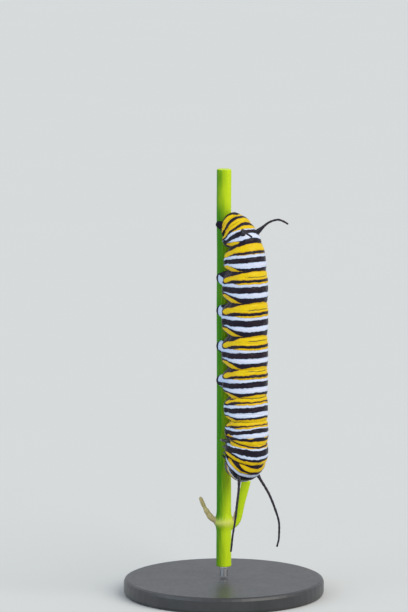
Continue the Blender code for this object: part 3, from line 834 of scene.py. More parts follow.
def pull(points, root, aim, half, rise=None):
    """Draws the skin out into a blunt cone, and gives each point's share of its reach.

    The cone ends at the aim, or where a rise is given, that much above the skin itself.
    """
    root = np.asarray(root, float)
    line = np.asarray(aim, float) - root
    axis = unit(line)
    tall = unit(UP - axis * axis[2])
    wide = np.cross(axis, tall)
    offset = points - root
    height = offset @ axis
    away = np.hypot(offset @ tall / half[0], offset @ wide / half[1])
    reach = np.linalg.norm(line)
    if rise is not None:
        reach = height[(away < 0.5) & (height > 0)].max() + rise
    near = (away < CONE_EDGE) & (height > -CONE_DEPTH)
    wall = np.interp(away, CONE_PLACES, CONE_HEIGHTS) * reach
    wall -= np.maximum(away - CONE_PLACES[-1], 0) * CONE_FALL
    gap = (height - wall) ** 2
    blend = CONE_BLEND**2
    drawn = 0.5 * (height + wall + np.sqrt(gap + blend)) - 0.25 * blend / np.sqrt(gap + 4 * blend)
    moved = np.where(near, drawn, height)
    share = np.where(near & (wall > height - CONE_MARGIN), moved / reach, 0)
    return points + axis * (moved - height)[..., None], share


def ring_band(ring, name):
    """The angles, starts and ends of one band of a ring of the abdomen."""
    edges = np.array(RING_EDGES[name])
    back, side = np.array(RING_SHIFTS[ring])[:, SHIFT_COLUMNS[name], None]
    sideways = smooth_step(*SHIFT_TURNS, np.array(ANGLES))
    return (ANGLES, *(ring + edges + (back + (side - back) * sideways)))


def mark_field(bands, along, turn, scale):
    """Depth in mm inside the nearest band, negative outside all of them."""
    reach = int(2 * EDGE_ROUNDING)
    degrees = np.arange(-30, 211)
    kernel = hump(np.arange(-reach, reach + 1), 0, EDGE_ROUNDING)
    kernel /= kernel.sum()

    def rounded(angles, edge):
        """A band's edge at each point, with its corners rounded."""
        edge = np.convolve(np.interp(np.abs(degrees), angles, edge), kernel, "same")
        return np.interp(turn, degrees[reach:-reach], edge[reach:-reach])

    field = np.full(along.shape, -1.0)
    for angles, starts, ends in bands:
        inside = np.minimum(along - rounded(angles, starts), rounded(angles, ends) - along) * scale
        if ends[-1] < starts[-1]:
            inside -= np.maximum(turn - angles[-1], 0) * END_FADE
        if ends[0] < starts[0]:
            inside -= np.maximum(angles[0] - turn, 0) * END_FADE
        field = np.maximum(field, inside)
    return field


def skin_rows():
    """The place in rings, the share of full width and the shift in mm of each of the skin's rows."""
    fine = np.linspace(0, RINGS, 2600)
    lengths = travel(skin_points(fine, 0 * fine))
    count = int(lengths[-1] / SKIN_STEP)
    along = np.interp(np.linspace(0, lengths[-1], count), lengths, fine)
    rows = np.concatenate((0 * NECK_BENDS, along, 0 * TAIL_BENDS + RINGS))
    bends = np.concatenate((-NECK_BENDS, np.zeros(count), TAIL_BENDS))[:, None]
    reach, bluntness = np.split(np.where(bends < 0, NECK_CAP, TAIL_CAP), 2, axis=1)
    return rows, np.cos(bends) ** bluntness, np.sin(bends) * reach


def skin_marks(along, turn, scale, foot):
    """The fields of the yellow, the white and the thin dark lines, which are partly pigment and partly
    painted fold shadow.
    """
    yellow, white = list(YELLOW_BANDS), list(WHITE_BANDS)
    white += [(FACE_ANGLES, *edges) for edges in FACE_EDGES]
    for ring in RING_SHIFTS:
        yellow += [ring_band(ring, name) for name in ("leaf", "thin_yellow", "yellow")]
        white += [ring_band(ring, name) for name in ("rear_white", "front_white")]
    above_foot = (FOOT_STARTS - foot) * 3
    return {
        "yellow": np.minimum(mark_field(yellow, along, turn, scale), above_foot),
        "white": np.minimum(mark_field(white, along, turn, scale), above_foot),
        "crease": mark_field(CREASE_PIGMENT_AND_SHADOW_BANDS, along, turn, scale),
    }


def make_skin():
    """The skin's rows of points, and each field that its finish reads."""
    rows, shrink, shift = skin_rows()
    around = np.linspace(-math.pi, math.pi, SKIN_SIDES, endpoint=False)
    along, around = np.meshgrid(rows, around, indexing="ij")
    straight = on_circle(around, EVEN_RADIUS * shrink, along * EVEN_RING + shift)
    plain = skin_points(along, around, 0.0, shrink, shift)
    scale = np.linalg.norm(np.gradient(plain, axis=0), axis=-1)
    scale = np.clip(scale / np.maximum(np.gradient(along, axis=0), 1e-4), *RING_LENGTHS)
    pore = pore_distance(along, around, scale)
    lift = skin_relief(along, around, straight, bpy.context.scene.larva_skin.fold_depth / MM)
    lift += PORE_RIM * hump(pore, 1.15, 0.25) - PORE_DEPTH * smooth_step(1.0, 0.3, pore)
    points, foot = draw_out_limbs(skin_points(along, around, lift, shrink, shift))
    marks_at = along + ripple_layers(straight, EDGE_WANDER) / scale
    fields = skin_marks(marks_at, np.degrees(np.abs(around)), scale, foot)
    return points, fields | {"pore": pore, "foot": foot, "straight": straight}


def draw_out_limbs(points):
    """Pulls the false legs, leg roots and filament sockets out of the skin."""
    foot = np.zeros(points.shape[:-1])
    for side in (-1, 1):
        for place in PROLEG_PLACES:
            height = on_curve(STATIONS, np.array(place))[1]
            root = mirrored((*PROLEG_ROOT, height), side)
            aim = mirrored((*PROLEG_FOOT, height), side)
            points, share = pull(points, root, aim, PROLEG_HALF)
            foot = np.maximum(foot, share)
        root, aim = mirrored(TAIL_PROLEG_ROOT, side), mirrored(TAIL_PROLEG_FOOT, side)
        points, share = pull(points, root, aim, TAIL_PROLEG_HALF)
        foot = np.maximum(foot, np.where(share > 0.5, 0.9, share))
        for root, aim, *_ in LEGS:
            points, _ = pull(points, mirrored(root, side), mirrored(aim, side), LEG_ROOT_HALF)
    for path in FILAMENTS.values():
        points, _ = pull(points, path[0], path[1], SOCKET_HALF, SOCKET_RISE)
    return points, foot


def skin_finish():
    """Soft banded skin with wavy edges, fine folds and a low sheen, with painted shade on the pale bands
    and painted fold shadows in the yellow.
    """
    settings = bpy.context.scene.larva_skin
    finish = Finish(
        "banded_skin",
        IOR=1.36,
        Specular_IOR_Level=0.25,
        Subsurface_Weight=0.06,
        Subsurface_Radius=(1.0, 0.6, 0.4),
        Subsurface_Scale=0.25 * MM,
        Coat_Roughness=0.3,
    )
    place = finish.field("straight", "Vector")
    lengthwise = finish.stretch(place, (1, 1, 0.35))
    crosswise = finish.stretch(place, (0.55, 0.55, 2.6))
    ragged = finish.noise(lengthwise, 2.4, 3) * 0.12 + finish.noise(place, 9.0, 2) * 0.05
    yellow_depth = finish.field("yellow") + ragged
    white_depth = finish.field("white") + ragged
    is_yellow = finish.step(yellow_depth, -0.035, 0.035)
    is_white = finish.step(white_depth, -0.04, 0.04)
    # Dark fold lines in the yellow: partly pigment and partly painted fold shadow.
    crease_pigment_and_shadow = finish.step(finish.field("crease") + ragged * 0.5, -0.05, 0.03)
    blotch = finish.step(finish.noise(crosswise, 0.9, 4), -0.12, 0.2)
    velvet = finish.step(finish.field("foot"), 0.02, 0.3)
    dark = finish.mix(blotch * (1 - velvet) * 0.5, settings.black, settings.brown)
    yellow_rim = 1 - finish.step(yellow_depth, 0.0, 0.22)
    tone = finish.step(finish.noise(crosswise, 1.1, 4), -0.2, 0.25)
    yellow = finish.mix(yellow_rim * 0.45 + (1 - tone) * 0.22, settings.yellow, settings.deep_yellow)
    yellow = finish.mix(crease_pigment_and_shadow * 0.85, yellow, settings.brown)
    white_rim = 1 - finish.step(white_depth, 0.02, 0.20)
    across = finish.node("ShaderNodeSeparateXYZ", None, {"Vector": place}, output="X")
    # Painted shade: the pale bands turn to the shaded white on the flanks toward the belly.
    painted_flank_shade = finish.step(across, 1.6, -1.6)
    shade = white_rim * 0.4 + (1 - tone) * 0.12 + painted_flank_shade * 0.5
    white = finish.mix(shade, settings.white, settings.shaded_white)
    colour = finish.mix(is_white, dark, white)
    colour = finish.mix(is_yellow, colour, yellow)
    spots = finish.step(finish.cells(crosswise, 2.1), 0.16, 0.05)
    freckle = spots * finish.step(finish.noise(place, 1.3, 2), 0.0, 0.2)
    colour = finish.mix(freckle * 0.35, colour, settings.brown)
    is_pore = 1 - finish.step(finish.field("pore"), 0.85, 1.05)
    colour = finish.mix(is_pore, colour, settings.black)
    finish.feed("Base Color", colour)
    pale = finish.step(is_white + is_yellow, 0.0, 1.0)
    wear = finish.noise(place, 3.0, 3)
    finish.feed("Roughness", 0.36 + pale * 0.10 + wear * 0.16 + velvet * 0.4)
    finish.feed("Coat Weight", (0.03 + finish.step(wear, -0.2, 0.3) * 0.07) * (1 - velvet))
    wrinkles = finish.noise(crosswise, 2.2, 4, 0.6) * 1.0
    grain = finish.noise(place, 14.0, 2) * 0.22
    pimples = finish.step(finish.cells(place, 5.0), 0.10, 0.0) * 0.25
    finish.bump(wrinkles + grain + pimples - crease_pigment_and_shadow * 0.35, 0.05)
    return finish


class LARVA_OT_skin(bpy.types.Operator):
    """Builds the one skin of the body, with its folds, false legs and bands"""

    bl_idname = "larva_model.skin"
    bl_label = "Skin"

    def execute(self, context):
        points, fields = make_skin()
        skin = add_mesh("body_skin", [points])
        for name, values in fields.items():
            add_field(skin, name, carried(values))
        flesh = [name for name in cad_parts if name.startswith(("thorax", "abdomen", "proleg"))]
        finish_piece(skin, skin_finish(), "skin_banded", *sorted(flesh))
        return {"FINISHED"}


def filament_finish():
    """Soft dark skin with a fine grain."""
    finish = Finish("filament_skin", IOR=1.42)
    settings = bpy.context.scene.larva_skin
    place = finish.place()
    tint = finish.step(finish.noise(place, 1.4, 4), -0.1, 0.25)
    finish.feed("Base Color", finish.mix(tint * 0.7, settings.black, settings.brown))
    finish.feed("Roughness", 0.38 + finish.noise(place, 4.0, 3) * 0.2)
    finish.bump(finish.noise(place, 7.0, 3) + finish.step(finish.cells(place, 6.0), 0.12, 0.0) * 0.4, 0.03)
    return finish


class LARVA_OT_filaments(bpy.types.Operator):
    """Builds the four soft filaments, with a swollen root, faint rings and a blunt tip"""

    bl_idname = "larva_model.filaments"
    bl_label = "Filaments"

    def execute(self, context):
        settings = context.scene.larva_limbs
        root, tip = settings.filament_radius / MM, settings.filament_tip / MM
        finish = filament_finish()
        for seed, (name, knots) in enumerate(FILAMENTS.items(), 31):
            path = smooth_path(knots, FILAMENT_STEPS)
            reached = travel(path)
            share = reached / reached[-1]
            sway = 0.05 * ripple(path * (0.2, 0.2, 1), 3.5, seed) * share
            path = path + sway[:, None] * (0.4, 1, 0.2)
            radii = root + (tip - root) * share**0.8
            radii = radii * (1 + 0.05 * np.sin(reached * 9.0) + 0.05 * ripple(path, 0.8, seed))
            swell = FRONT_SWELL if name.startswith("front") else REAR_SWELL
            radii += swell * hump(reached, 0, SWELL_LENGTH)
            filament = add_mesh(f"filament_{name}_skin", [tube(path, radii, 28)])
            finish_piece(filament, finish, "skin_black", f"filament_{name}")
        return {"FINISHED"}


def leg_shells(knots):
    """The joints of one true leg, each a swollen tube, and its curved claw as the last shell."""
    path = smooth_path(knots, LEG_STEPS)
    shells = []
    for first, last, wide, narrow in LEG_JOINTS:
        part = path[int(first * LEG_STEPS) : int(last * LEG_STEPS) + 1]
        share = np.linspace(0, 1, len(part))
        swell = 0.035 * np.sin(math.pi * share) - 0.03 * hump(share, 0.0, 0.12)
        radii = (wide + (narrow - wide) * share + swell) * LEG_SLIMNESS
        shells.append(tube(part, radii, 22, round_first=True))
    claw = path[int(CLAW_START * LEG_STEPS) :]
    hook = np.linspace(0, 1, len(claw))
    claw = claw - UP * (CLAW_DROP * hook**2)[:, None]
    shells.append(tube(claw, CLAW_RADIUS * (1 - 0.82 * hook), 14))
    return shells


def horn_finish(name, colour, second):
    """Hard, glossy horn with patches of a second colour."""
    finish = Finish(name, IOR=1.5, Coat_Roughness=0.15)
    place = finish.place()
    patch = finish.step(finish.noise(place, 2.2, 3), 0.05, 0.3)
    finish.feed("Base Color", finish.mix(patch * 0.35, colour, second))
    finish.feed("Roughness", 0.26 + finish.noise(place, 5.0, 3) * 0.18)
    finish.feed("Coat Weight", 0.3 + finish.noise(place, 3.0, 2) * 0.2)
    finish.bump(finish.noise(place, 9.0, 3) + finish.step(finish.cells(place, 6.5), 0.14, 0.02) * 0.5, 0.02)
    return finish


class LARVA_OT_legs(bpy.types.Operator):
    """Builds the six true legs and their claws"""

    bl_idname = "larva_model.legs"
    bl_label = "Legs"

    def execute(self, context):
        settings = context.scene.larva_limbs
        hard = horn_finish("leg_shell", settings.leg_black, settings.leg_joint)
        claw_finish = horn_finish("claw_horn", settings.leg_joint, settings.leg_black)
        for side, word in ((-1, "right"), (1, "left")):
            for number, path in enumerate(LEGS, 1):
                *joints, claw = leg_shells([mirrored(knot, side) for knot in path])
                leg = add_mesh(f"leg_{number}_{word}_shell", joints)
                finish_piece(leg, hard, "skin_black", f"leg_{number}_{word}")
                claw = add_mesh(f"leg_{number}_{word}_claw", [claw])
                finish_piece(claw, claw_finish, "skin_black")
        return {"FINISHED"}


def head_frame():
    """The head's axes as columns, and its centre."""
    centre, back, tailward, *_ = spine(np.array(0.0))
    front = -tailward
    return np.stack((front, (0, 1, 0), back), axis=1), centre + front * HEAD_FORWARD


def capsule(direction):
    """Where directions from the head's centre meet the capsule, in the head's own frame."""
    radii = np.array(HEAD_RADII)
    point = direction / np.sqrt(((direction / radii) ** 2).sum(axis=-1, keepdims=True))
    y, z = point[..., 1], point[..., 2]
    groove = hump(y, 0, 0.3) * smooth_step(-0.2, 0.6, z / radii[2])
    return point * (1 - CROWN_GROOVE * groove)[..., None]


def seam_distance(point):
    """Distance from the head's forked seam: down from the crown, then out to both jaws."""
    y, z = np.abs(point[..., 1]), point[..., 2]
    below = SEAM_FORK - z
    stem = np.hypot(y, np.maximum(below, 0))
    arm = np.abs(y - SEAM_SPREAD * below) / math.hypot(1, SEAM_SPREAD)
    return np.minimum(stem, np.where(below > 0, arm, np.hypot(y, below)))


def make_head_shell():
    """The head capsule's rows of points, and how deep each lies inside a yellow stripe."""
    bend = np.linspace(0, math.pi, 152)[1:-1, None]
    direction = on_circle(full_turn(180), np.sin(bend), -np.cos(bend))[..., (2, 0, 1)]
    point = capsule(direction)
    x, y, z = point[..., 0], np.abs(point[..., 1]), point[..., 2]
    facing = smooth_step(-0.1, 0.5, x)
    seam = seam_distance(point)
    lift = -SEAM_DEPTH * hump(seam, 0, 0.05) * facing
    plate = smooth_step(0.02, 0.16, seam) * facing * smooth_step(0.30, 0.18, y)
    lift += PLATE_HEIGHT * plate * smooth_step(0.2, -0.4, z)
    lift += 0.006 * ripple(point, 0.35, 41)
    arc = np.hypot(y * 0.95, z + 0.12)
    outer = np.minimum(0.085 - np.abs(arc - OUTER_STRIPE), (z + 0.38) * 0.6)
    inner = np.minimum(0.075 - np.abs(seam - INNER_STRIPE), np.minimum(0.62 - z, z + 0.85))
    stripe = np.minimum(np.maximum(outer, inner), (x + 0.05) * 0.8)
    return point + direction * lift[..., None], stripe


def head_finish():
    """Glossy pitted black with yellow stripes."""
    settings = bpy.context.scene.larva_head
    finish = Finish("head_capsule", IOR=1.5, Coat_Roughness=0.12)
    place = finish.place()
    ragged = finish.noise(place, 6.0, 2) * 0.06
    is_stripe = finish.step(finish.field("stripe") + ragged, -0.02, 0.02)
    shade = finish.step(finish.noise(place, 2.5, 3), -0.15, 0.25)
    stripe = finish.mix(shade * 0.35, settings.stripe, settings.mouth)
    finish.feed("Base Color", finish.mix(is_stripe, settings.shell, stripe))
    finish.feed("Roughness", 0.24 + finish.noise(place, 6.0, 3) * 0.14)
    finish.feed("Coat Weight", 0.4 + finish.noise(place, 2.0, 2) * 0.2)
    finish.bump(finish.cells(place, 7.0) * 0.5 + finish.noise(place, 16.0, 2) * 0.4, 0.025)
    return finish


def eye_places():
    """The six simple eyes of the left side: five on an arc and one in its opening."""
    middle = unit(EYE_MIDDLE)
    across = unit(np.cross(middle, (0, 0, 1)))
    upward = np.cross(across, middle)
    centre = capsule(middle)
    spots = [across * math.sin(turn) + upward * math.cos(turn) for turn in EYE_ARC_TURNS]
    spots.append(-upward * 0.9)
    return [capsule(unit(centre + spot * EYE_ARC_RADIUS)) for spot in spots]


class LARVA_OT_head(bpy.types.Operator):
    """Builds the head capsule with its eyes, antennae, lip, jaws and feelers"""

    bl_idname = "larva_model.head"
    bl_label = "Head"

    def execute(self, context):
        settings = context.scene.larva_head
        axes, centre = head_frame()

        def placed(shells):
            return [shell @ axes.T + centre for shell in shells]

        points, stripe = make_head_shell()
        head = add_mesh("head_capsule", placed([points]))
        add_field(head, "stripe", carried(stripe))
        finish_piece(head, head_finish(), "head_shell", "head")
        eyes, jaws, antennae = [], [], []
        radius = settings.eye_radius / MM
        for side in (-1, 1):
            for place in eye_places():
                eyes.append(ball(mirrored(place, side), (radius,) * 3, rows=10, sides=16))
            jaws += self.jaw_shells(side)
            antennae.append(self.antenna_shells(side))
        jaws += [ball(place, radii, Matrix.Rotation(LIP_TILT, 3, "Y")) for place, radii in LIP_LOBES]
        eyes_finish = horn_finish("eye_lens", *EYE_COLOURS)
        mouth_finish = horn_finish("mouth_horn", settings.mouth, settings.shell)
        finish_piece(add_mesh("eyes", placed(eyes)), eyes_finish, "head_shell")
        finish_piece(add_mesh("mouthparts", placed(jaws)), mouth_finish, "head_shell")
        antenna_finish = horn_finish("antenna_shell", settings.shell, context.scene.larva_limbs.leg_joint)
        for word, shells in zip(("right", "left"), antennae):
            antenna = add_mesh(f"antenna_{word}_shell", placed(shells))
            finish_piece(antenna, antenna_finish, "head_shell", f"antenna_{word}")
        return {"FINISHED"}

    def jaw_shells(self, side):
        """One mandible with its teeth, and the small jointed feeler behind it."""
        shells = [ball(mirrored(JAW_PLACE, side), JAW_RADII)]
        for step in range(JAW_TEETH):
            place = FIRST_TOOTH + TOOTH_SPACING * step
            shells.append(ball(mirrored(place, side), TOOTH_RADII, rows=8, sides=10))
        path = smooth_path([mirrored(knot, side) for knot in FEELER_PATH], 24)
        shells.append(tube(path, along_path(FEELER_RADII, path), 14))
        return shells

    def antenna_shells(self, side):
        """One antenna of three narrowing joints with a bristle at its end."""
        root = mirrored(ANTENNA_ROOT, side)
        aim = unit(mirrored(ANTENNA_AIM, side))
        shells = [ball(root + aim * 0.12, (0.25, 0.25, 0.25))]
        for start, end, wide, narrow in ANTENNA_JOINTS:
            path = root + aim * np.linspace(start, end, 14)[:, None]
            shells.append(tube(path, np.linspace(wide, narrow, 14), 16))
        bristle_aim = unit(aim + mirrored(BRISTLE_BEND, side))
        bristle = root + aim * 0.8 + bristle_aim * np.linspace(0, BRISTLE_LENGTH, 8)[:, None]
        shells.append(tube(bristle, np.linspace(0.022, 0.01, 8), 8))
        return shells


def near_path(points, path):
    """Each point's distance from a path, and how far along the path it is, from 0 to 1."""
    distances = np.stack([np.linalg.norm(points - spot, axis=1) for spot in path])
    return distances.min(axis=0), distances.argmin(axis=0) / (len(path) - 1)


def merge_shells(obj, voxel, smooth):
    """Turns overlapping shells, still in mm, into one closed skin with softened joins."""
    remesh = obj.modifiers.new("merge", "REMESH")
    remesh.mode = "VOXEL"
    remesh.voxel_size = voxel
    soften = obj.modifiers.new("soften", "SMOOTH")
    soften.factor = 0.5
    soften.iterations = smooth
    bpy.context.view_layer.update()
    graph = bpy.context.evaluated_depsgraph_get()
    mesh = bpy.data.meshes.new_from_object(obj.evaluated_get(graph))
    obj.modifiers.clear()
    obj.data = mesh
    points = np.empty(len(mesh.vertices) * 3)
    mesh.vertices.foreach_get("co", points)
    return points.reshape(-1, 3)


def stem_finish():
    """Fresh green stem: lengthwise ridges, a pale joint, a withered stub and pale cut ends, with painted
    sunlight on one side and the larva's painted shadow beside it.
    """
    settings = bpy.context.scene.larva_perch
    finish = Finish(
        "green_stem",
        IOR=1.42,
        Specular_IOR_Level=0.15,
        Subsurface_Weight=0.12,
        Subsurface_Radius=(0.8, 1.0, 0.2),
        Subsurface_Scale=0.4 * MM,
        Coat_Roughness=0.25,
    )
    place = finish.place()
    fibres = finish.stretch(place, (1, 1, 0.06))
    streak = finish.noise(fibres, 4.5, 4)
    cloud = finish.noise(finish.stretch(place, (1, 1, 0.3)), 0.35, 3)
    # The share of light green holds random streaks and clouds, plus painted sunlight and the larva's
    # painted shadow.
    share = finish.step(streak * 0.5 + cloud * 0.9 + finish.field("painted_sunlight") * 0.55, -0.6, 0.45)
    colour = finish.mix(share, settings.dark, settings.light)
    pale = finish.field("joint") * (0.75 + streak)
    colour = finish.mix(pale, colour, settings.node)
    withered = finish.step(finish.field("dry") + finish.noise(place, 2.0, 3) * 0.5, 0.3, 0.7)
    cracks = finish.step(finish.noise(fibres, 6.0, 4), -0.15, 0.2)
    bark = finish.mix(cracks * 0.35, settings.dry, CRACK_COLOUR)
    colour = finish.mix(withered, colour, bark)
    cut = finish.field("cut")
    rings = finish.cells(place, 5.0)
    pith = finish.mix(finish.step(rings, 0.1, 0.5), settings.pith, settings.light)
    colour = finish.mix(finish.step(cut, 0.35, 0.65), colour, pith)
    speck = finish.step(finish.cells(place, 1.3), 0.09, 0.04) * 0.5
    colour = finish.mix(speck, colour, settings.dark)
    finish.feed("Base Color", colour)
    finish.feed("Roughness", 0.48 + streak * 0.2 + withered * 0.3)
    finish.feed("Coat Weight", 0.03 - withered * 0.03)
    finish.bump(streak + finish.noise(place, 6.0, 3) * 0.35 + withered * finish.noise(fibres, 5.0, 3), 0.06)
    return finish


def stem_shells(stalk_path, stub_path, scale_paths):
    """The stem, its leaf stalk, its withered stub and its two scales, in mm."""
    heights = np.linspace(STEM_BOTTOM, STEM_TOP, 240)
    swell = JOINT_SWELL * hump(heights, JOINT_HEIGHT, JOINT_HALF)
    swell += FOOT_SWELL * (1 - smooth_step(*FOOT_ENDS, heights))
    stalk_radii = along_path(STALK_RADII, stalk_path)
    stub_radii = along_path(STUB_RADII, stub_path) * (1 + 0.12 * ripple(stub_path, 0.9, 52))
    shells = [
        tube(on_circle(0, 0, heights), STEM_RADIUS + swell, 64, round_last=False),
        tube(stalk_path, stalk_radii, 32, round_first=True, round_last=False),
        tube(stub_path, stub_radii, 24, round_first=True),
    ]
    for path in scale_paths:
        shells.append(tube(path, along_path(SCALE_RADII, path), 16, round_first=True))
    return shells


def on_stem(points):
    return np.hypot(points[:, 0], points[:, 1]) < STEM_RADIUS + STEM_MARGIN


def from_cut(points):
    """Distance in mm along the stem from the nearer of its two cut ends."""
    return np.minimum(points[:, 2] - STEM_BOTTOM, STEM_TOP - points[:, 2])


def raise_ridges(points):
    """The stem's points moved out by its lengthwise ridges, which fade at the cut ends."""
    x, y, z = points.T
    turn = np.arctan2(y, x)
    lift = RIDGE_HEIGHT * np.cos(turn * STEM_RIDGES + 0.6 * np.sin(z * 0.35))
    lift += 0.02 * ripple(points * (1, 1, 0.25), 2.4, 51)
    lift *= on_stem(points) * smooth_step(0.1, 0.5, from_cut(points))
    return points + on_circle(turn, 1, 0) * lift[:, None]


def stem_fields(points, ridged, stalk_path, stub_path, scale_paths):
    """What the stem's finish reads at each point: painted sunlight with the larva's painted shadow, at the
    joint, withered, cut.
    """
    x, y, z = points.T
    outward = on_circle(np.arctan2(y, x), 1, 0)
    # Painted shadow of the larva: the stem is painted darker between these heights and lighter beyond them.
    outside_painted_shadow = smooth_step(*LARVA_SHADOW_BELOW, z) + smooth_step(*LARVA_SHADOW_ABOVE, z)
    distance, share = near_path(points, stub_path)
    dry = smooth_step(0.75, 0.5, distance) * smooth_step(0.05, 0.22, share)
    for path in scale_paths:
        distance, share = near_path(ridged, path)
        dry = np.maximum(dry, smooth_step(0.42, 0.26, distance) * smooth_step(0.1, 0.4, share))
    distance, share = near_path(points, stalk_path)
    past_end = (ridged - stalk_path[-1]) @ unit(stalk_path[-1] - stalk_path[-2])
    cut = smooth_step(0.12, 0.02, from_cut(points))
    cut += smooth_step(-0.10, -0.02, past_end) * (distance < 1.0)
    inside = STEM_RADIUS - np.hypot(x, y) + share * 3
    return {
        # Painted light: lighter on the side the sun is painted from, and outside the larva's painted
        # shadow.
        "painted_sunlight": outward @ np.array(PAINTED_SUNLIT_SIDE) + 0.75 * outside_painted_shadow - 0.35,
        "joint": hump(z, JOINT_HEIGHT, 0.5) * on_stem(points),
        "dry": dry,
        "cut": np.clip(cut, 0, 1) * smooth_step(-0.05, 0.05, inside),
    }


class LARVA_OT_perch(bpy.types.Operator):
    """Builds the cut stem with its leaf joint, cut leaf stalk and withered stub"""

    bl_idname = "larva_model.perch"
    bl_label = "Perch"

    def execute(self, context):
        scale_paths = [smooth_path(path, 30) for path in SCALE_PATHS]
        paths = smooth_path(STALK_PATH, 80), smooth_path(STUB_PATH, 60), scale_paths
        perch = add_mesh("perch_stem_skin", stem_shells(*paths), scale=1.0)
        points = merge_shells(perch, STEM_VOXEL, STEM_SMOOTHING)
        ridged = raise_ridges(points)
        perch.data.vertices.foreach_set("co", (ridged * MM).ravel())
        perch.data.shade_smooth()
        for name, values in stem_fields(points, ridged, *paths).items():
            add_field(perch, name, values)
        finish_piece(perch, stem_finish(), "stem_green", "perch_stem")
        return {"FINISHED"}


def paint_finish():
    """Satin paint, with faint clouds and a fine grain."""
    finish = Finish("stand_satin_paint", IOR=1.5, Coat_Roughness=0.3)
    place = finish.place()
    tone = finish.step(finish.noise(place, 0.25, 4), -0.2, 0.25)
    paint = bpy.context.scene.larva_stand.paint
    finish.feed("Base Color", finish.mix(tone * 0.5, paint, PAINT_SHADE))
    finish.feed("Roughness", 0.42 + finish.noise(place, 1.6, 4) * 0.16)
    finish.feed("Coat Weight", 0.2 + finish.noise(place, 0.6, 2) * 0.2)
    finish.bump(finish.noise(place, 3.5, 3), 0.02)
    return finish


def steel_finish():
    """Brushed steel, with its lines round the rod."""
    finish = Finish("stand_brushed_steel", Metallic=1.0)
    lines = finish.noise(finish.stretch(finish.place(), (1, 1, 12)), 2.0, 4)
    shade = finish.step(lines, -0.2, 0.2)
    steel = bpy.context.scene.larva_stand.steel
    finish.feed("Base Color", finish.mix(shade, steel, STEEL_SHADE))
    finish.feed("Roughness", 0.30 + lines * 0.2)
    finish.bump(lines, 0.01)
    return finish


class LARVA_OT_stand(bpy.types.Operator):
    """Finishes the stand's painted base and its steel rod"""

    bl_idname = "larva_model.stand"
    bl_label = "Stand"

    def execute(self, context):
        for name, finish in (("stand_base", paint_finish()), ("stand_rod", steel_finish())):
            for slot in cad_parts[name].material_slots:
                slot.material = finish.material
        return {"FINISHED"}


def floor_finish():
    """Matt pale floor with faint clouds."""
    finish = Finish("floor_matt", Roughness=1.0, Specular_IOR_Level=0.0)
    clouds = finish.noise(finish.place(), 0.02, 3)
    colour = bpy.context.scene.larva_stage.floor
    finish.feed("Base Color", finish.mix(clouds * 0.1 + 0.05, colour, FLOOR_SHADE))
    return finish


def add_light(name, strength, source, colour):
    """A broad, soft light that falls evenly from the direction of its source."""
    light = bpy.data.lights.new(name, "SUN")
    light.energy = strength
    light.angle = LIGHT_SPREAD
    light.color = colour
    holder = bpy.data.objects.new(name, light)
    holder.rotation_euler = Vector(source).to_track_quat("Z", "Y").to_euler()
    bpy.context.scene.collection.objects.link(holder)


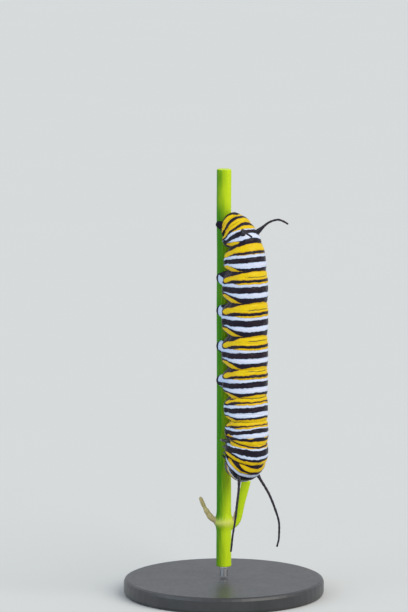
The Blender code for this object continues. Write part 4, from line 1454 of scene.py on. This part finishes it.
class LARVA_OT_stage(bpy.types.Operator):
    """Builds the floor, the soft lights and the camera"""

    bl_idname = "larva_model.stage"
    bl_label = "Stage"

    def execute(self, context):
        scene = context.scene
        settings = scene.larva_stage
        self.add_floor()
        world = bpy.data.worlds.new("soft_sky")
        world.use_nodes = True
        background = world.node_tree.nodes["Background"]
        background.inputs["Color"].default_value = SKY_COLOUR
        background.inputs["Strength"].default_value = SKY_STRENGTH
        scene.world = world
        scene.view_settings.view_transform = "Standard"
        right = on_circle(settings.azimuth, 1, 0)
        toward = on_circle(settings.azimuth - math.pi / 2, 1, 0)
        self.add_camera(right, toward, settings.elevation)
        axes = np.array((right, toward, UP))
        add_light("key", settings.key_light, KEY_SOURCE @ axes, KEY_COLOUR)
        add_light("fill", settings.fill_light, FILL_SOURCE @ axes, FILL_COLOUR)
        return {"FINISHED"}

    def add_floor(self):
        edge = on_circle(full_turn(96), FLOOR_RADIUS, 0)
        mesh = bpy.data.meshes.new("floor")
        mesh.from_pydata(edge.tolist(), [], [tuple(range(len(edge)))])
        floor = bpy.data.objects.new("floor", mesh)
        bpy.context.scene.collection.objects.link(floor)
        mesh.materials.append(floor_finish().material)

    def add_camera(self, right, toward, elevation):
        away = toward * math.cos(elevation) + UP * math.sin(elevation)
        aim = UP * CAMERA_HEIGHT - right * CAMERA_LEFT
        lens = bpy.data.cameras.new("camera")
        lens.sensor_fit = "VERTICAL"
        lens.sensor_height = SENSOR
        lens.lens = SENSOR * CAMERA_DISTANCE / (PICTURE_ROWS * ROW_HEIGHT)
        lens.clip_start = 0.01
        camera = bpy.data.objects.new("camera", lens)
        camera.location = (aim + away * CAMERA_DISTANCE) * MM
        camera.rotation_euler = Vector(away).to_track_quat("Z", "Y").to_euler()
        bpy.context.scene.collection.objects.link(camera)
        bpy.context.scene.camera = camera


OPERATORS = (
    LARVA_OT_skin,
    LARVA_OT_filaments,
    LARVA_OT_legs,
    LARVA_OT_head,
    LARVA_OT_perch,
    LARVA_OT_stand,
    LARVA_OT_stage,
)
SETTINGS = {
    "larva_skin": SkinSettings,
    "larva_limbs": LimbSettings,
    "larva_head": HeadSettings,
    "larva_perch": PerchSettings,
    "larva_stand": StandSettings,
    "larva_stage": StageSettings,
}


class LARVA_PT_pieces(bpy.types.Panel):
    """Lists each piece's sizes and colours, and the button that builds it"""

    bl_idname = "LARVA_PT_pieces"
    bl_label = "Monarch larva"
    bl_space_type = "VIEW_3D"
    bl_region_type = "UI"
    bl_category = "Larva"

    def draw(self, context):
        for operator in OPERATORS:
            self.layout.operator(operator.bl_idname)
        for name, group in SETTINGS.items():
            box = self.layout.box()
            for field in group.__annotations__:
                box.prop(getattr(context.scene, name), field)


def register():
    for group in (*SETTINGS.values(), *OPERATORS, LARVA_PT_pieces):
        bpy.utils.register_class(group)
    for name, group in SETTINGS.items():
        setattr(bpy.types.Scene, name, PointerProperty(type=group))


def unregister():
    for name in SETTINGS:
        delattr(bpy.types.Scene, name)
    for group in (LARVA_PT_pieces, *reversed(OPERATORS), *reversed(SETTINGS.values())):
        bpy.utils.unregister_class(group)


def main():
    register()
    bpy.ops.larva_model.skin()
    bpy.ops.larva_model.filaments()
    bpy.ops.larva_model.legs()
    bpy.ops.larva_model.head()
    bpy.ops.larva_model.perch()
    bpy.ops.larva_model.stand()
    bpy.ops.larva_model.stage()


if __name__ == "__main__":
    main()
